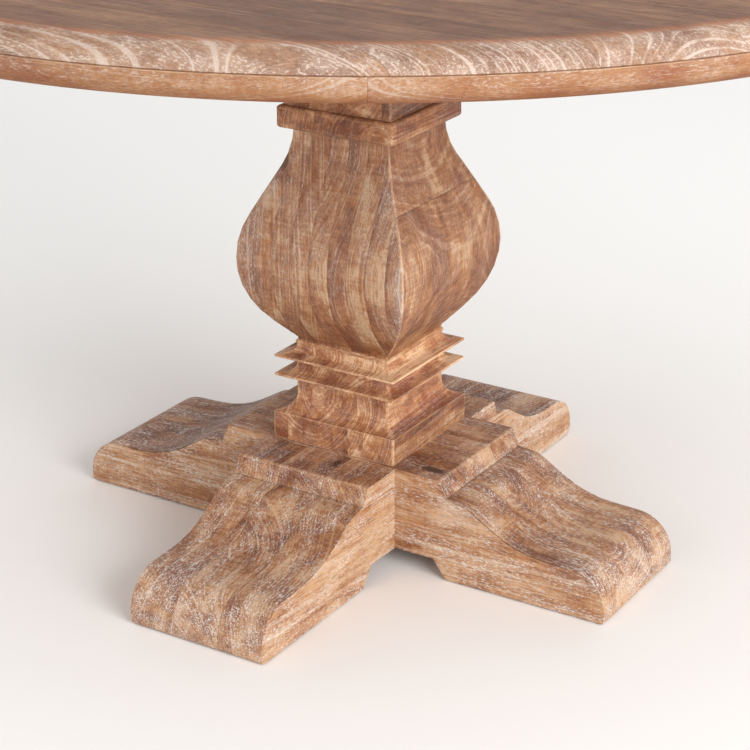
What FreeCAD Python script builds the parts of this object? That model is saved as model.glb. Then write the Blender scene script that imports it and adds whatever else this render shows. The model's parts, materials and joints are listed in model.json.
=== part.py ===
import FreeCAD, Part
import math
import os
import Sketcher
from types import SimpleNamespace

# Round pedestal table: a planked top with a built-up rim, a square baluster column held
# together by a tie rod, and a cross of two half-lapped beams whose ends are shaped as legs.
# Millimetres, +Z up, origin on the floor under the middle of the column. Two legs lie along X
# (beam b) and two along Y (beam a); the boards of the top run along X.

DRIVING_SIZES = [
    # the whole table
    ("table_height", 762, "floor to the face of the top"),
    ("top_diameter", 1372, "over the rim"),
    ("base_span", 727, "toe to toe along one beam"),
    # top boards
    ("board_count", 12, "boards side by side across the top"),
    ("board_thickness", 22, "planed thickness of a top board"),
    ("edge_setback", 1.7, "boards stop this far inside the rim face"),
    ("edge_drop", 21, "height of the rounded part of the board edge"),
    ("edge_lean", 7.7, "how far the edge slope leans in over that height"),
    ("edge_round", 30, "radius where the slope turns into the face"),
    # rim glued under the board ends
    ("rim_count", 8, "curved segments in the rim"),
    ("rim_thickness", 27, "rim, battens and cleat are all this thick"),
    ("rim_width", 80, "radial width of the rim"),
    ("rim_round", 22, "radius under the rim"),
    ("rim_turn", 31.8, "angle of the first rim joint from the X axis"),
    # battens and cleat under the boards
    ("batten_width", 90, "across X"),
    ("batten_place", 300, "middle of the table to the middle of a batten"),
    ("batten_gap", 5, "batten end to the inside of the rim"),
    ("batten_bevel", 12, "bevel on the lower ends of a batten"),
    ("batten_screw_count", 8, "screws in one batten, one in each board"),
    ("cleat_width", 300, "centre cleat across X"),
    ("cleat_inset", 18, "cleat end to the far edge of its outer board"),
    ("cleat_screw_place", 110, "rows of cleat screws from the middle"),
    ("screw_diameter", 5, "wood screws"),
    ("screw_head", 9.5, "head of a wood screw"),
    ("screw_head_thickness", 3, "head of a wood screw"),
    ("screw_sink", 8, "depth of the hole that hides a head"),
    ("screw_bite", 15, "screw in a top board"),
    ("screw_clearance", 1.5, "round a head, on the diameter"),
    # cap plate between the column and the cleat
    ("cap_width", 280, "square cap plate"),
    ("cap_thickness", 30, "square cap plate"),
    ("cap_bevel", 10, "bevel round its lower edge"),
    ("cap_screw_place", 55, "cap plate screws from the middle, in X and in Y"),
    ("cap_screw_bite", 20, "cap plate screw in the capital"),
    ("top_bolt_diameter", 8, "bolts that hold the top down"),
    ("top_bolt_place", 115, "top bolts from the middle, in X and in Y"),
    ("top_bolt_bite", 18, "bolt in its insert"),
    ("top_insert_diameter", 12, "threaded insert in the cleat"),
    ("top_insert_length", 20, "threaded insert in the cleat"),
    # column, as half widths of its square section
    ("capital_half", 84, "capital at its top"),
    ("capital_lip", 6, "upright edge at the top of the capital"),
    ("capital_cove", 12, "cove under that edge"),
    ("neck_half", 71, "neck above the collar"),
    ("collar_half", 77, "collar"),
    ("collar_thickness", 26.6, "collar"),
    ("collar_round", 4, "rounded edges of the collar"),
    ("vase_height", 259.3, "vase, from its foot to the collar"),
    ("vase_top_half", 63.5, "vase at its top"),
    ("vase_shoulder", 23.4, "vase top down to the bend of its shoulder"),
    ("vase_shoulder_round", 100, "radius of that bend"),
    ("vase_belly_corner", 136.4, "half width where the slopes of the belly would meet"),
    ("vase_belly_height", 87, "height of that meeting above the foot"),
    ("vase_belly_round", 123, "radius of the belly"),
    ("vase_foot_half", 62, "vase at its foot"),
    ("vase_foot_height", 2.5, "upright start of the vase"),
    ("vase_foot_round", 5, "radius above that start"),
    ("vase_board_count", 9, "boards stacked across X and glued into the vase block"),
    ("vase_block_half", 114.5, "half width of that block before it is shaped"),
    ("fillet_half", 64, "thin fillet plate under the vase"),
    ("fillet_thickness", 4.8, "thin fillet plate under the vase"),
    ("fillet_bevel", 1.5, "bevel round its upper edge"),
    ("flange_half", 82.5, "tip of a flange"),
    ("flange_neck_half", 63, "flange above its cove"),
    ("upper_flange_height", 14.7, "upper flange block"),
    ("lower_flange_height", 23.7, "lower flange block"),
    ("flange_lip", 2.5, "thickness of a flange at its tip"),
    ("flange_fall", 2, "fall of its upper face towards the tip"),
    ("flange_cove", 9.5, "cove radius of a flange"),
    ("plinth_setback", 5, "beam side to plinth side"),
    ("plinth_height", 33.7, "upright part of the plinth block"),
    ("plinth_neck_half", 63.3, "plinth block above its cove"),
    ("plinth_cove", 20, "cove radius of the plinth block"),
    ("plinth_neck_height", 45.2, "plinth edge to the lower flange"),
    # base beams
    ("beam_width", 178, "three boards glued face to face"),
    ("foot_lift", 1.5, "glides hold the beams this far off the floor"),
    ("pad_height", 126.4, "floor to the raised middle of a beam"),
    ("pad_reach", 148, "middle to the end of that raised part"),
    ("pad_round", 3, "its upper edge"),
    ("step_height", 105.2, "floor to the foot of the step"),
    ("step_reach", 158, "middle to the foot of the step"),
    ("hump_reach", 184, "middle to the bend where the leg turns down"),
    ("hump_height", 102.3, "floor to that bend"),
    ("hump_round", 28, "radius of that bend"),
    ("dip_reach", 249, "middle to the bend where the leg flattens"),
    ("dip_height", 63.3, "floor to that bend"),
    ("dip_round", 136, "radius of that bend"),
    ("toe_height", 58.5, "floor to the top of the toe"),
    ("toe_round", 45, "radius of the toe"),
    ("toe_edge_round", 4, "radius where the toe meets the sole"),
    ("relief_height", 24.4, "floor to the underside between the soles"),
    ("relief_reach", 141, "middle to the end of that underside"),
    ("sole_reach", 158, "middle to the start of a sole"),
    # bolts, inserts and dowels of the base
    ("base_bolt_diameter", 10, "bolts up into the plinth block"),
    ("base_bolt_bite", 26, "bolt in its insert"),
    ("base_bolt_sink", 16, "depth of the hole that hides head and washer"),
    ("base_insert_diameter", 16, "threaded insert in the plinth block"),
    ("base_insert_length", 30, "threaded insert in the plinth block"),
    ("base_dowel_diameter", 12, "dowels between beam b and the plinth block"),
    ("base_dowel_length", 50, "half in each"),
    ("base_dowel_place", 47, "from the middle"),
    ("vase_dowel_diameter", 8, "dowels at both ends of the vase"),
    ("vase_dowel_place", 49, "from the middle"),
    ("vase_dowel_bite", 15, "dowel in the vase"),
    ("flange_dowel_bite", 10, "dowel in the upper flange"),
    ("capital_dowel_bite", 20, "dowel in the capital"),
    # tie rod through the column
    ("rod_diameter", 12, "tie rod"),
    ("rod_sink", 19, "depth of the holes that hide nut and washer"),
    ("rod_end", 4, "rod beyond its nut"),
    ("hole_clearance", 1, "round bolts and the rod, on the diameter"),
    ("washer_clearance", 2, "round washers in their holes, on the diameter"),
    # glides
    ("glide_diameter", 28, "nylon glide under a toe"),
    ("glide_setback", 30, "toe to the middle of its glides"),
    ("glide_pin_diameter", 3, "pin of a glide"),
    ("glide_pin_length", 12, "pin of a glide"),
]

# Shares of a bolt's diameter that metric hexagon bolts, nuts and washers keep.
HEX_ACROSS = 1.7
HEAD_HEIGHT = 0.66
NUT_HEIGHT = 0.84
WASHER_DIAMETER = 2.2
WASHER_THICKNESS = 0.2
HEX_CORNER = 1 / math.sqrt(3)

# Waste beyond a face that a cut runs out through, so that no skin is left.
SAW_ROOM = 10

# Boards that the centre cleat crosses, and the least flat left beside the plinth's cove.
CLEAT_BOARDS = 4
COVE_STOP = 0.2

XY = "XY_Plane"
XZ = "XZ_Plane"
YZ = "YZ_Plane"


class Measure:
    """A number that also knows the spreadsheet expression it comes from."""

    def __init__(self, value, text):
        self.value = float(value)
        self.text = text

    def joined(self, sign, other, value):
        return Measure(value, f"({self.text} {sign} {measure(other).text})")

    def __add__(self, other):
        return self.joined("+", other, self.value + measure(other).value)

    def __sub__(self, other):
        return self.joined("-", other, self.value - measure(other).value)

    def __mul__(self, other):
        return self.joined("*", other, self.value * measure(other).value)

    def __truediv__(self, other):
        return self.joined("/", other, self.value / measure(other).value)

    def __neg__(self):
        return Measure(-self.value, f"(-1 * {self.text})")


def measure(thing):
    """The Measure itself, or a plain number made into one."""
    if isinstance(thing, Measure):
        return thing
    return Measure(thing, repr(float(thing)))


def smaller(first, second):
    """The smaller of two sizes, as a radius limited by its wall."""
    return Measure(min(first.value, second.value), f"min({first.text}; {second.text})")


def square_root(thing):
    return Measure(math.sqrt(thing.value), f"sqrt({thing.text})")


def make_sheet(document):
    """The spreadsheet of driving sizes, and the same sizes as Measures."""
    sheet = document.addObject("Spreadsheet::Sheet", "Sizes")
    sizes = SimpleNamespace()
    for row, (name, value, note) in enumerate(DRIVING_SIZES, start=1):
        sheet.set(f"A{row}", name)
        sheet.set(f"B{row}", str(value))
        sheet.set(f"C{row}", note)
        sheet.setAlias(f"B{row}", name)
        setattr(sizes, name, Measure(value, f"Sizes.{name}"))
    document.recompute()
    return sizes


doc = FreeCAD.newDocument("RoundPedestalTable")
size = make_sheet(doc)
parts = []


# ---- heights and widths that several pieces share ------------------------------------------

top_radius = size.top_diameter / 2
board_width = size.top_diameter / size.board_count
board_bottom = size.table_height - size.board_thickness
edge_radius = top_radius - size.edge_setback
rim_bottom = board_bottom - size.rim_thickness
rim_inside = top_radius - size.rim_width
cap_bottom = rim_bottom - size.cap_thickness
plinth_edge = size.pad_height + size.plinth_height
lower_flange_bottom = plinth_edge + size.plinth_neck_height
upper_flange_bottom = lower_flange_bottom + size.lower_flange_height
fillet_bottom = upper_flange_bottom + size.upper_flange_height
vase_bottom = fillet_bottom + size.fillet_thickness
vase_top = vase_bottom + size.vase_height
neck_bottom = vase_top + size.collar_thickness
plinth_half = size.beam_width / 2 - size.plinth_setback
beam_half = size.beam_width / 2
beam_board = size.beam_width / 3
lap_height = (size.relief_height + size.pad_height) / 2
toe_reach = size.base_span / 2
cleat_half_length = board_width * 2 - size.cleat_inset
rod_hole = size.rod_diameter + size.hole_clearance
base_bolt_hole = size.base_bolt_diameter + size.hole_clearance
top_bolt_hole = size.top_bolt_diameter + size.hole_clearance
screw_head_hole = size.screw_head + size.screw_clearance
rod_washer_seat = size.relief_height + size.rod_sink
rod_top_seat = rim_bottom - size.rod_sink
rod_washer_hole = size.rod_diameter * WASHER_DIAMETER + size.washer_clearance
base_washer_seat = size.relief_height + size.base_bolt_sink
base_washer_hole = size.base_bolt_diameter * WASHER_DIAMETER + size.washer_clearance


# ---- sketch and feature helpers ------------------------------------------------------------

def bind(thing, name, value):
    """Give a property its size, and bind it to the spreadsheet."""
    thing.setExpression(name, measure(value).text)


def new_body(label, several=False):
    """A sub-part; its label names its file. With several it may hold separate solids."""
    body = doc.addObject("PartDesign::Body", label)
    body.Label = label
    body.AllowCompound = several
    parts.append(body)
    return body


def lift(body, height):
    """Stand a body at a height that follows the spreadsheet."""
    bind(body, ".Placement.Base.z", height)


def turn(body, angle):
    """Turn a body about the vertical."""
    upright = FreeCAD.Rotation(FreeCAD.Vector(0, 0, 1), 0)
    body.Placement = FreeCAD.Placement(FreeCAD.Vector(), upright)
    bind(body, ".Placement.Rotation.Angle", angle)


def new_sketch(body, plane, offset=None):
    """A sketch on one of the body's own origin planes, shifted by offset (x, y, z)."""
    sketch = body.newObject("Sketcher::SketchObject", "Sketch")
    face = next(item for item in body.Origin.OriginFeatures if item.Role == plane)
    sketch.AttachmentSupport = (face, "")
    sketch.MapMode = "FlatFace"
    for axis, amount in zip("xyz", offset or ()):
        if isinstance(amount, Measure):
            bind(sketch, f".AttachmentOffset.Base.{axis}", amount)
    return sketch


def fix(sketch, kind, where, amount):
    """Add one dimension and bind it to the spreadsheet."""
    index = sketch.addConstraint(Sketcher.Constraint(kind, *where, measure(amount).value))
    sketch.setExpression(f"Constraints[{index}]", measure(amount).text)


def fix_point(sketch, geometry, end, across, up):
    """Hold one point of the sketch at its two distances from the origin."""
    fix(sketch, "DistanceX", (-1, 1, geometry, end), across)
    fix(sketch, "DistanceY", (-1, 1, geometry, end), up)


def round_corner(sketch, before, after, corner, radius):
    """An arc tangent to two lines, whose lines' meeting point stays on the corner."""
    point = sketch.addGeometry(Part.Point(corner.place), True)
    fix_point(sketch, point, 1, corner.across, corner.up)
    sketch.addConstraint(Sketcher.Constraint("PointOnObject", point, 1, before))
    sketch.addConstraint(Sketcher.Constraint("PointOnObject", point, 1, after))
    arc = sketch.addGeometry(Part.Arc(corner.start, corner.middle, corner.end), False)
    first_end = 1 if sketch.getPoint(arc, 1).distanceToPoint(corner.start) < 1e-6 else 2
    sketch.addConstraint(Sketcher.Constraint("Tangent", before, 2, arc, first_end))
    sketch.addConstraint(Sketcher.Constraint("Tangent", after, 1, arc, 3 - first_end))
    fix(sketch, "Radius", (arc,), radius)


def lay_out(points):
    """Each corner's place, and where the arc that rounds it starts, bulges and ends."""
    places = [FreeCAD.Vector(measure(p[0]).value, measure(p[1]).value, 0) for p in points]
    corners = []
    for index, point in enumerate(points):
        place = places[index]
        corner = SimpleNamespace(across=point[0], up=point[1], place=place, start=place, end=place)
        corner.radius = point[2] if len(point) > 2 else None
        if corner.radius is not None:
            back = (places[index - 1] - place).normalize()
            ahead = (places[(index + 1) % len(places)] - place).normalize()
            half_angle = back.getAngle(ahead) / 2
            radius = measure(corner.radius).value
            inward = (back + ahead).normalize()
            corner.start = place + back * (radius / math.tan(half_angle))
            corner.end = place + ahead * (radius / math.tan(half_angle))
            corner.middle = place + inward * (radius / math.sin(half_angle) - radius)
        corners.append(corner)
    return corners


def draw_outline(sketch, points):
    """A closed outline. A point is (across, up), or (across, up, radius) for a rounded corner."""
    corners = lay_out(points)
    count = len(corners)
    lines = [sketch.addGeometry(Part.LineSegment(corners[i].end, corners[(i + 1) % count].start), False)
             for i in range(count)]
    for index, corner in enumerate(corners):
        before = lines[index - 1]
        after = lines[index]
        if corner.radius is None:
            sketch.addConstraint(Sketcher.Constraint("Coincident", before, 2, after, 1))
            fix_point(sketch, after, 1, corner.across, corner.up)
        else:
            round_corner(sketch, before, after, corner, corner.radius)


def draw_circle(sketch, across, up, diameter):
    centre = FreeCAD.Vector(measure(across).value, measure(up).value, 0)
    radius = measure(diameter).value / 2
    circle = sketch.addGeometry(Part.Circle(centre, FreeCAD.Vector(0, 0, 1), radius), False)
    fix_point(sketch, circle, 3, across, up)
    fix(sketch, "Diameter", (circle,), diameter)


def mirrored(points):
    """The points, then their mirror images in reverse, so that they close on both sides."""
    return points + [(-point[0], *point[1:]) for point in reversed(points)]


def box_outline(half_width, low, high):
    return mirrored([(half_width, low), (half_width, high)])


def pad(body, sketch, length, both_ways=False):
    feature = body.newObject("PartDesign::Pad", "Pad")
    feature.Profile = sketch
    feature.SideType = "Symmetric" if both_ways else "One side"
    bind(feature, "Length", length)
    return feature


def pocket_through(body, sketch):
    """Cut a sketch through everything, both ways from its plane."""
    doc.recompute()
    before = body.Tip.Shape.Volume
    cut = body.newObject("PartDesign::Pocket", "Pocket")
    cut.Profile = sketch
    cut.SideType = "Symmetric"
    cut.Type = "ThroughAll"
    doc.recompute()
    require_less(body, cut, before)


def pocket_up(body, sketch, depth, upwards=True):
    """Cut a sketch to a depth, upwards or downwards from its plane."""
    doc.recompute()
    before = body.Tip.Shape.Volume
    cut = body.newObject("PartDesign::Pocket", "Pocket")
    cut.Profile = sketch
    cut.Reversed = upwards
    bind(cut, "Length", depth)
    doc.recompute()
    require_less(body, cut, before)


def require_less(body, cut, before):
    """Stop if a cut has taken nothing away."""
    if not cut.Shape.Volume < before - 1:
        raise RuntimeError(f"{body.Label}: {cut.Name} cuts nothing")


def turn_profile(body, sketch, kind="PartDesign::Revolution", angle=360):
    """Turn a profile about the sketch's upright axis, as a solid or, as a Groove, a cut."""
    feature = body.newObject(kind, kind.split("::")[1])
    feature.Profile = sketch
    feature.ReferenceAxis = (sketch, ["V_Axis"])
    bind(feature, "Angle", angle)
    return feature


def origin_axis(body, role):
    return next(item for item in body.Origin.OriginFeatures if item.Role == role)


def around(body, originals, count=4):
    """Repeat features around the vertical axis."""
    pattern = body.newObject("PartDesign::PolarPattern", "PolarPattern")
    pattern.Originals = originals
    pattern.Axis = (origin_axis(body, "Z_Axis"), [""])
    pattern.Angle = 360
    bind(pattern, "Occurrences", count)
    body.Tip = pattern


def rows(body, originals, across, columns, along, count):
    """Repeat features in a grid: columns spread over across in X, count spread over along in Y."""
    pattern = body.newObject("PartDesign::LinearPattern", "LinearPattern")
    pattern.Originals = originals
    pattern.Direction = (origin_axis(body, "X_Axis"), [""])
    pattern.Direction2 = (origin_axis(body, "Y_Axis"), [""])
    bind(pattern, "Length", across)
    bind(pattern, "Occurrences", columns)
    bind(pattern, "Length2", along)
    bind(pattern, "Occurrences2", count)
    body.Tip = pattern


def drill(body, places, diameter):
    """Round holes right through a body, at places (x, y)."""
    sketch = new_sketch(body, XY)
    for across, up in places:
        draw_circle(sketch, across, up, diameter)
    pocket_through(body, sketch)


def sink(body, places, diameter, height, depth, upwards=True):
    """Round holes that start at a height and go up, or down, to a depth."""
    sketch = new_sketch(body, XY, (0, 0, height))
    for across, up in places:
        draw_circle(sketch, across, up, diameter)
    pocket_up(body, sketch, depth, upwards)


def four_corners(place):
    return [(place, place), (-place, place), (-place, -place), (place, -place)]


def four_sides(place):
    return [(place, 0), (0, place), (-place, 0), (0, -place)]


def waste_beside(profile, sign, widest):
    """The waste outside a profile of (half width, height) points, on one side of the middle."""
    clear = (widest + SAW_ROOM) * sign
    low = profile[0][1] - SAW_ROOM
    high = profile[-1][1] + SAW_ROOM
    kept = [(point[0] * sign, *point[1:]) for point in profile]
    return [(clear, high), (clear, low), (kept[0][0], low)] + kept + [(kept[-1][0], high)]


def square_moulding(body, profile, widest):
    """A square block whose four sides follow one profile of (half width, height) points.

    The front view is padded through, then the same profile is cut from the side.
    """
    front = new_sketch(body, XZ)
    draw_outline(front, mirrored(profile))
    pad(body, front, widest * 2, both_ways=True)
    side = new_sketch(body, YZ)
    for sign in (1, -1):
        draw_outline(side, waste_beside(profile, sign, widest))
    pocket_through(body, side)


# ---- fasteners, one at a place (x, y) ------------------------------------------------------

def turned(body, place, steps):
    """One turned piece: steps are (radius, lower height, upper height), from the bottom up."""
    outline = [(0, steps[0][1])]
    for radius, low, high in steps:
        outline.extend([(radius, low), (radius, high)])
    outline.append((0, steps[-1][2]))
    sketch = new_sketch(body, XZ, (place[0], 0, -place[1]))
    draw_outline(sketch, outline)
    return turn_profile(body, sketch)


def ring(body, place, outer, inner, low, high):
    """One turned ring between two heights, from its outer and inner diameters."""
    sketch = new_sketch(body, XZ, (place[0], 0, -place[1]))
    draw_outline(sketch, [(inner / 2, low), (outer / 2, low), (outer / 2, high), (inner / 2, high)])
    return turn_profile(body, sketch)


def hexagon(body, place, diameter, low, height, hole=None):
    """One hexagon head or nut for a thread of that diameter."""
    across, up = place
    flat = diameter * HEX_ACROSS / 2
    corner = flat * (2 * HEX_CORNER)
    half = corner / 2
    ring_points = [(corner, 0), (half, flat), (-half, flat), (-corner, 0), (-half, -flat), (half, -flat)]
    sketch = new_sketch(body, XY, (across, up, low))
    draw_outline(sketch, ring_points)
    if hole is not None:
        draw_circle(sketch, 0, 0, hole)
    return pad(body, sketch, height)


def washer(body, place, diameter, low):
    """One washer for a bolt of that diameter, lying on a height."""
    high = low + diameter * WASHER_THICKNESS
    return ring(body, place, diameter * WASHER_DIAMETER, diameter + size.hole_clearance, low, high)


def screw(body, place, seat, end):
    """One wood screw whose head lies on a seat and whose shank runs from there to an end."""
    shank = size.screw_diameter / 2
    head = size.screw_head / 2
    if end.value > measure(seat).value:
        return turned(body, place, [(head, seat - size.screw_head_thickness, seat), (shank, seat, end)])
    return turned(body, place, [(shank, end, seat), (head, seat, seat + size.screw_head_thickness)])


# ---- the top -------------------------------------------------------------------------------

def spread(count):
    """Places of count things side by side, in steps, evenly about the middle."""
    return [index - (count - 1) / 2 for index in range(count)]


def make_top_board(label, step, has_batten_screws, has_cleat_screws):
    """One plank along X, sawn to the round and routed on its ends."""
    body = new_body(label)
    lift(body, board_bottom)
    plank = new_sketch(body, XY)
    middle = board_width * step
    near = middle - board_width / 2
    far = middle + board_width / 2
    draw_outline(plank, [(-top_radius, near), (top_radius, near), (top_radius, far), (-top_radius, far)])
    pad(body, plank, size.board_thickness)
    doc.recompute()
    before = body.Tip.Shape.Volume
    waste = new_sketch(body, XZ)
    face = size.board_thickness
    beyond = top_radius * 2
    slope_top = edge_radius - size.edge_lean
    draw_outline(waste, [
        (edge_radius, -SAW_ROOM),
        (edge_radius, face - size.edge_drop),
        (slope_top, face, size.edge_round),
        (slope_top - size.edge_round, face),
        (slope_top - size.edge_round, face + SAW_ROOM),
        (beyond, face + SAW_ROOM),
        (beyond, -SAW_ROOM),
    ])
    groove = turn_profile(body, waste, "PartDesign::Groove")
    doc.recompute()
    require_less(body, groove, before)
    pilots = []
    if has_batten_screws:
        pilots += [(-size.batten_place, middle), (size.batten_place, middle)]
    if has_cleat_screws:
        pilots += [(-size.cleat_screw_place, middle), (size.cleat_screw_place, middle)]
    if pilots:
        sink(body, pilots, size.screw_diameter, 0, size.screw_bite)


def make_top_boards():
    """Boards side by side across Y; the battens and the cleat are screwed to the middle ones."""
    steps = spread(int(size.board_count.value))
    batten_reach = size.batten_screw_count.value / 2
    cleat_reach = CLEAT_BOARDS / 2
    for number, step in enumerate(steps, start=1):
        make_top_board(f"top_board_{number:02d}", step, abs(step) < batten_reach, abs(step) < cleat_reach)


def make_rim_segments():
    """Curved segments glued under the ends of the boards, round the edge."""
    sweep = measure(360) / size.rim_count
    for number in range(int(size.rim_count.value)):
        body = new_body(f"rim_segment_{number + 1}")
        section = new_sketch(body, XZ)
        draw_outline(section, [
            (rim_inside, 0),
            (top_radius, 0, size.rim_round),
            (top_radius, size.rim_thickness),
            (rim_inside, size.rim_thickness),
        ])
        turn_profile(body, section, angle=sweep)
        turn(body, size.rim_turn + sweep * number)
        lift(body, rim_bottom)


def make_battens():
    """Two battens along Y that keep the boards flat, with a screw up into each board."""
    reach = rim_inside - size.batten_gap
    corner = size.batten_place + size.batten_width / 2
    half_length = square_root(reach * reach - corner * corner)
    for label, sign in (("cross_batten_left", -1), ("cross_batten_right", 1)):
        body = new_body(label)
        side = new_sketch(body, YZ)
        draw_outline(side, mirrored([
            (half_length - size.batten_bevel, 0),
            (half_length, size.batten_bevel),
            (half_length, size.rim_thickness),
        ]))
        pad(body, side, size.batten_width, both_ways=True)
        places = [(0, board_width * step) for step in spread(int(size.batten_screw_count.value))]
        drill(body, places, size.screw_diameter)
        sink(body, places, screw_head_hole, 0, size.screw_sink)
        bind(body, ".Placement.Base.x", size.batten_place * sign)
        lift(body, rim_bottom)


def make_centre_cleat():
    """The thick board under the middle of the top that the cap plate is bolted to."""
    body = new_body("centre_cleat")
    plan = new_sketch(body, XY)
    draw_outline(plan, box_outline(size.cleat_width / 2, -cleat_half_length, cleat_half_length))
    pad(body, plan, size.rim_thickness)
    places = [(size.cleat_screw_place * sign, board_width * step)
              for sign in (-1, 1) for step in spread(CLEAT_BOARDS)]
    drill(body, places, size.screw_diameter)
    sink(body, places, screw_head_hole, 0, size.screw_sink)
    sink(body, four_corners(size.top_bolt_place), size.top_insert_diameter, 0, size.top_insert_length)
    lift(body, rim_bottom)


def make_top_screws():
    """Screws up through the battens and the cleat into the boards."""
    end = size.rim_thickness + size.screw_bite
    body = new_body("top_screws", several=True)
    for across, count in ((size.batten_place, size.batten_screw_count),
                          (size.cleat_screw_place, measure(CLEAT_BOARDS))):
        first = board_width * spread(int(count.value))[0]
        one = screw(body, (-across, first), size.screw_sink, end)
        rows(body, [one], across * 2, 2, first * -2, count)
    lift(body, rim_bottom)


def make_top_bolts():
    """Bolts up through the cap plate into threaded inserts in the cleat, with washers."""
    diameter = size.top_bolt_diameter
    place = (size.top_bolt_place, size.top_bolt_place)
    washer_bottom = -(diameter * WASHER_THICKNESS)
    head_bottom = washer_bottom - diameter * HEAD_HEIGHT
    body = new_body("top_bolts", several=True)
    head = hexagon(body, place, diameter, head_bottom, diameter * HEAD_HEIGHT)
    shank = turned(body, place, [(diameter / 2, washer_bottom, size.cap_thickness + size.top_bolt_bite)])
    around(body, [head, shank])
    lift(body, cap_bottom)
    body = new_body("top_bolt_washers", several=True)
    around(body, [washer(body, place, diameter, washer_bottom)])
    lift(body, cap_bottom)
    body = new_body("top_inserts", several=True)
    insert = ring(body, place, size.top_insert_diameter, diameter, 0, size.top_insert_length)
    around(body, [insert])
    lift(body, rim_bottom)


# ---- the column ----------------------------------------------------------------------------

def make_cap_plate():
    """Square plate on top of the capital; the tie rod's upper nut is sunk into it."""
    body = new_body("cap_plate")
    half = size.cap_width / 2
    square_moulding(body, [
        (half - size.cap_bevel, 0),
        (half, size.cap_bevel),
        (half, size.cap_thickness),
    ], half)
    drill(body, [(0, 0)], rod_hole)
    sink(body, [(0, 0)], rod_washer_hole, size.cap_thickness, size.rod_sink, upwards=False)
    drill(body, four_corners(size.top_bolt_place), top_bolt_hole)
    drill(body, four_corners(size.cap_screw_place), size.screw_diameter)
    sink(body, four_corners(size.cap_screw_place), screw_head_hole, size.cap_thickness, size.screw_sink,
         upwards=False)
    lift(body, cap_bottom)
    body = new_body("cap_plate_screws", several=True)
    place = (size.cap_screw_place, size.cap_screw_place)
    one = screw(body, place, size.cap_thickness - size.screw_sink, -size.cap_screw_bite)
    around(body, [one])
    lift(body, cap_bottom)


def make_capital():
    """Neck block above the collar that flares out under the cap plate."""
    body = new_body("capital_block")
    height = cap_bottom - neck_bottom
    square_moulding(body, [
        (size.neck_half, 0),
        (size.neck_half, height - size.capital_lip, size.capital_cove),
        (size.capital_half, height - size.capital_lip),
        (size.capital_half, height),
    ], size.capital_half)
    drill(body, [(0, 0)], rod_hole)
    sink(body, four_sides(size.vase_dowel_place), size.vase_dowel_diameter, 0, size.capital_dowel_bite)
    sink(body, four_corners(size.cap_screw_place), size.screw_diameter, height, size.cap_screw_bite,
         upwards=False)
    lift(body, neck_bottom)


def make_collar():
    """Square collar with rounded edges between the vase and the neck."""
    body = new_body("collar")
    flat = size.collar_half - size.collar_round * 2
    square_moulding(body, [
        (flat, 0),
        (size.collar_half, 0, size.collar_round),
        (size.collar_half, size.collar_thickness, size.collar_round),
        (flat, size.collar_thickness),
    ], size.collar_half)
    drill(body, [(0, 0)], rod_hole)
    drill(body, four_sides(size.vase_dowel_place), size.vase_dowel_diameter)
    lift(body, vase_top)


def vase_profile():
    """Half width of the vase up its height: foot, swelling belly, long shoulder, top."""
    return [
        (size.vase_foot_half, 0),
        (size.vase_foot_half, size.vase_foot_height, size.vase_foot_round),
        (size.vase_belly_corner, size.vase_belly_height, size.vase_belly_round),
        (size.vase_top_half, size.vase_height - size.vase_shoulder, size.vase_shoulder_round),
        (size.vase_top_half, size.vase_height),
    ]


def make_vase_boards():
    """Boards stacked across X, glued into one block and then shaped on all four sides."""
    thick = size.vase_block_half * 2 / size.vase_board_count
    half = thick.value / 2
    radius = size.vase_dowel_diameter.value / 2
    for number, step in enumerate(spread(int(size.vase_board_count.value)), start=1):
        body = new_body(f"vase_board_{number}")
        middle = thick * step
        side = new_sketch(body, YZ, (0, 0, middle))
        draw_outline(side, mirrored(vase_profile()))
        pad(body, side, thick, both_ways=True)
        if abs(middle.value) + half > size.vase_foot_half.value:
            front = new_sketch(body, XZ)
            sign = math.copysign(1, step)
            draw_outline(front, waste_beside(vase_profile(), sign, size.vase_belly_corner))
            pocket_through(body, front)
        if abs(middle.value) < half + rod_hole.value / 2:
            drill(body, [(0, 0)], rod_hole)
        places = [place for place in four_sides(size.vase_dowel_place)
                  if abs(measure(place[0]).value - middle.value) < half + radius]
        if places:
            sink(body, places, size.vase_dowel_diameter, 0, size.vase_dowel_bite)
            sink(body, places, size.vase_dowel_diameter, size.vase_height, size.vase_dowel_bite,
                 upwards=False)
        lift(body, vase_bottom)


def make_vase_dowels():
    """Dowels down through the fillet plate into the flange, and up through the collar."""
    place = (size.vase_dowel_place, 0)
    radius = size.vase_dowel_diameter / 2
    low = -(size.fillet_thickness + size.flange_dowel_bite)
    body = new_body("vase_foot_dowels", several=True)
    around(body, [turned(body, place, [(radius, low, size.vase_dowel_bite)])])
    lift(body, vase_bottom)
    body = new_body("vase_top_dowels", several=True)
    high = size.collar_thickness + size.capital_dowel_bite
    around(body, [turned(body, place, [(radius, -size.vase_dowel_bite, high)])])
    lift(body, vase_top)


def make_fillet_plate():
    """Thin plate that the vase stands on, bevelled round its upper edge."""
    body = new_body("fillet_plate")
    square_moulding(body, [
        (size.fillet_half, 0),
        (size.fillet_half, size.fillet_thickness - size.fillet_bevel),
        (size.fillet_half - size.fillet_bevel, size.fillet_thickness),
    ], size.fillet_half)
    drill(body, [(0, 0)], rod_hole)
    drill(body, four_sides(size.vase_dowel_place), size.vase_dowel_diameter)
    lift(body, fillet_bottom)


def make_flange(label, height, bottom):
    """A block whose foot runs out to a thin square flange below a cove."""
    body = new_body(label)
    square_moulding(body, [
        (size.flange_half, 0),
        (size.flange_half, size.flange_lip),
        (size.flange_neck_half, size.flange_lip + size.flange_fall, size.flange_cove),
        (size.flange_neck_half, height),
    ], size.flange_half)
    drill(body, [(0, 0)], rod_hole)
    lift(body, bottom)
    return body


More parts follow.
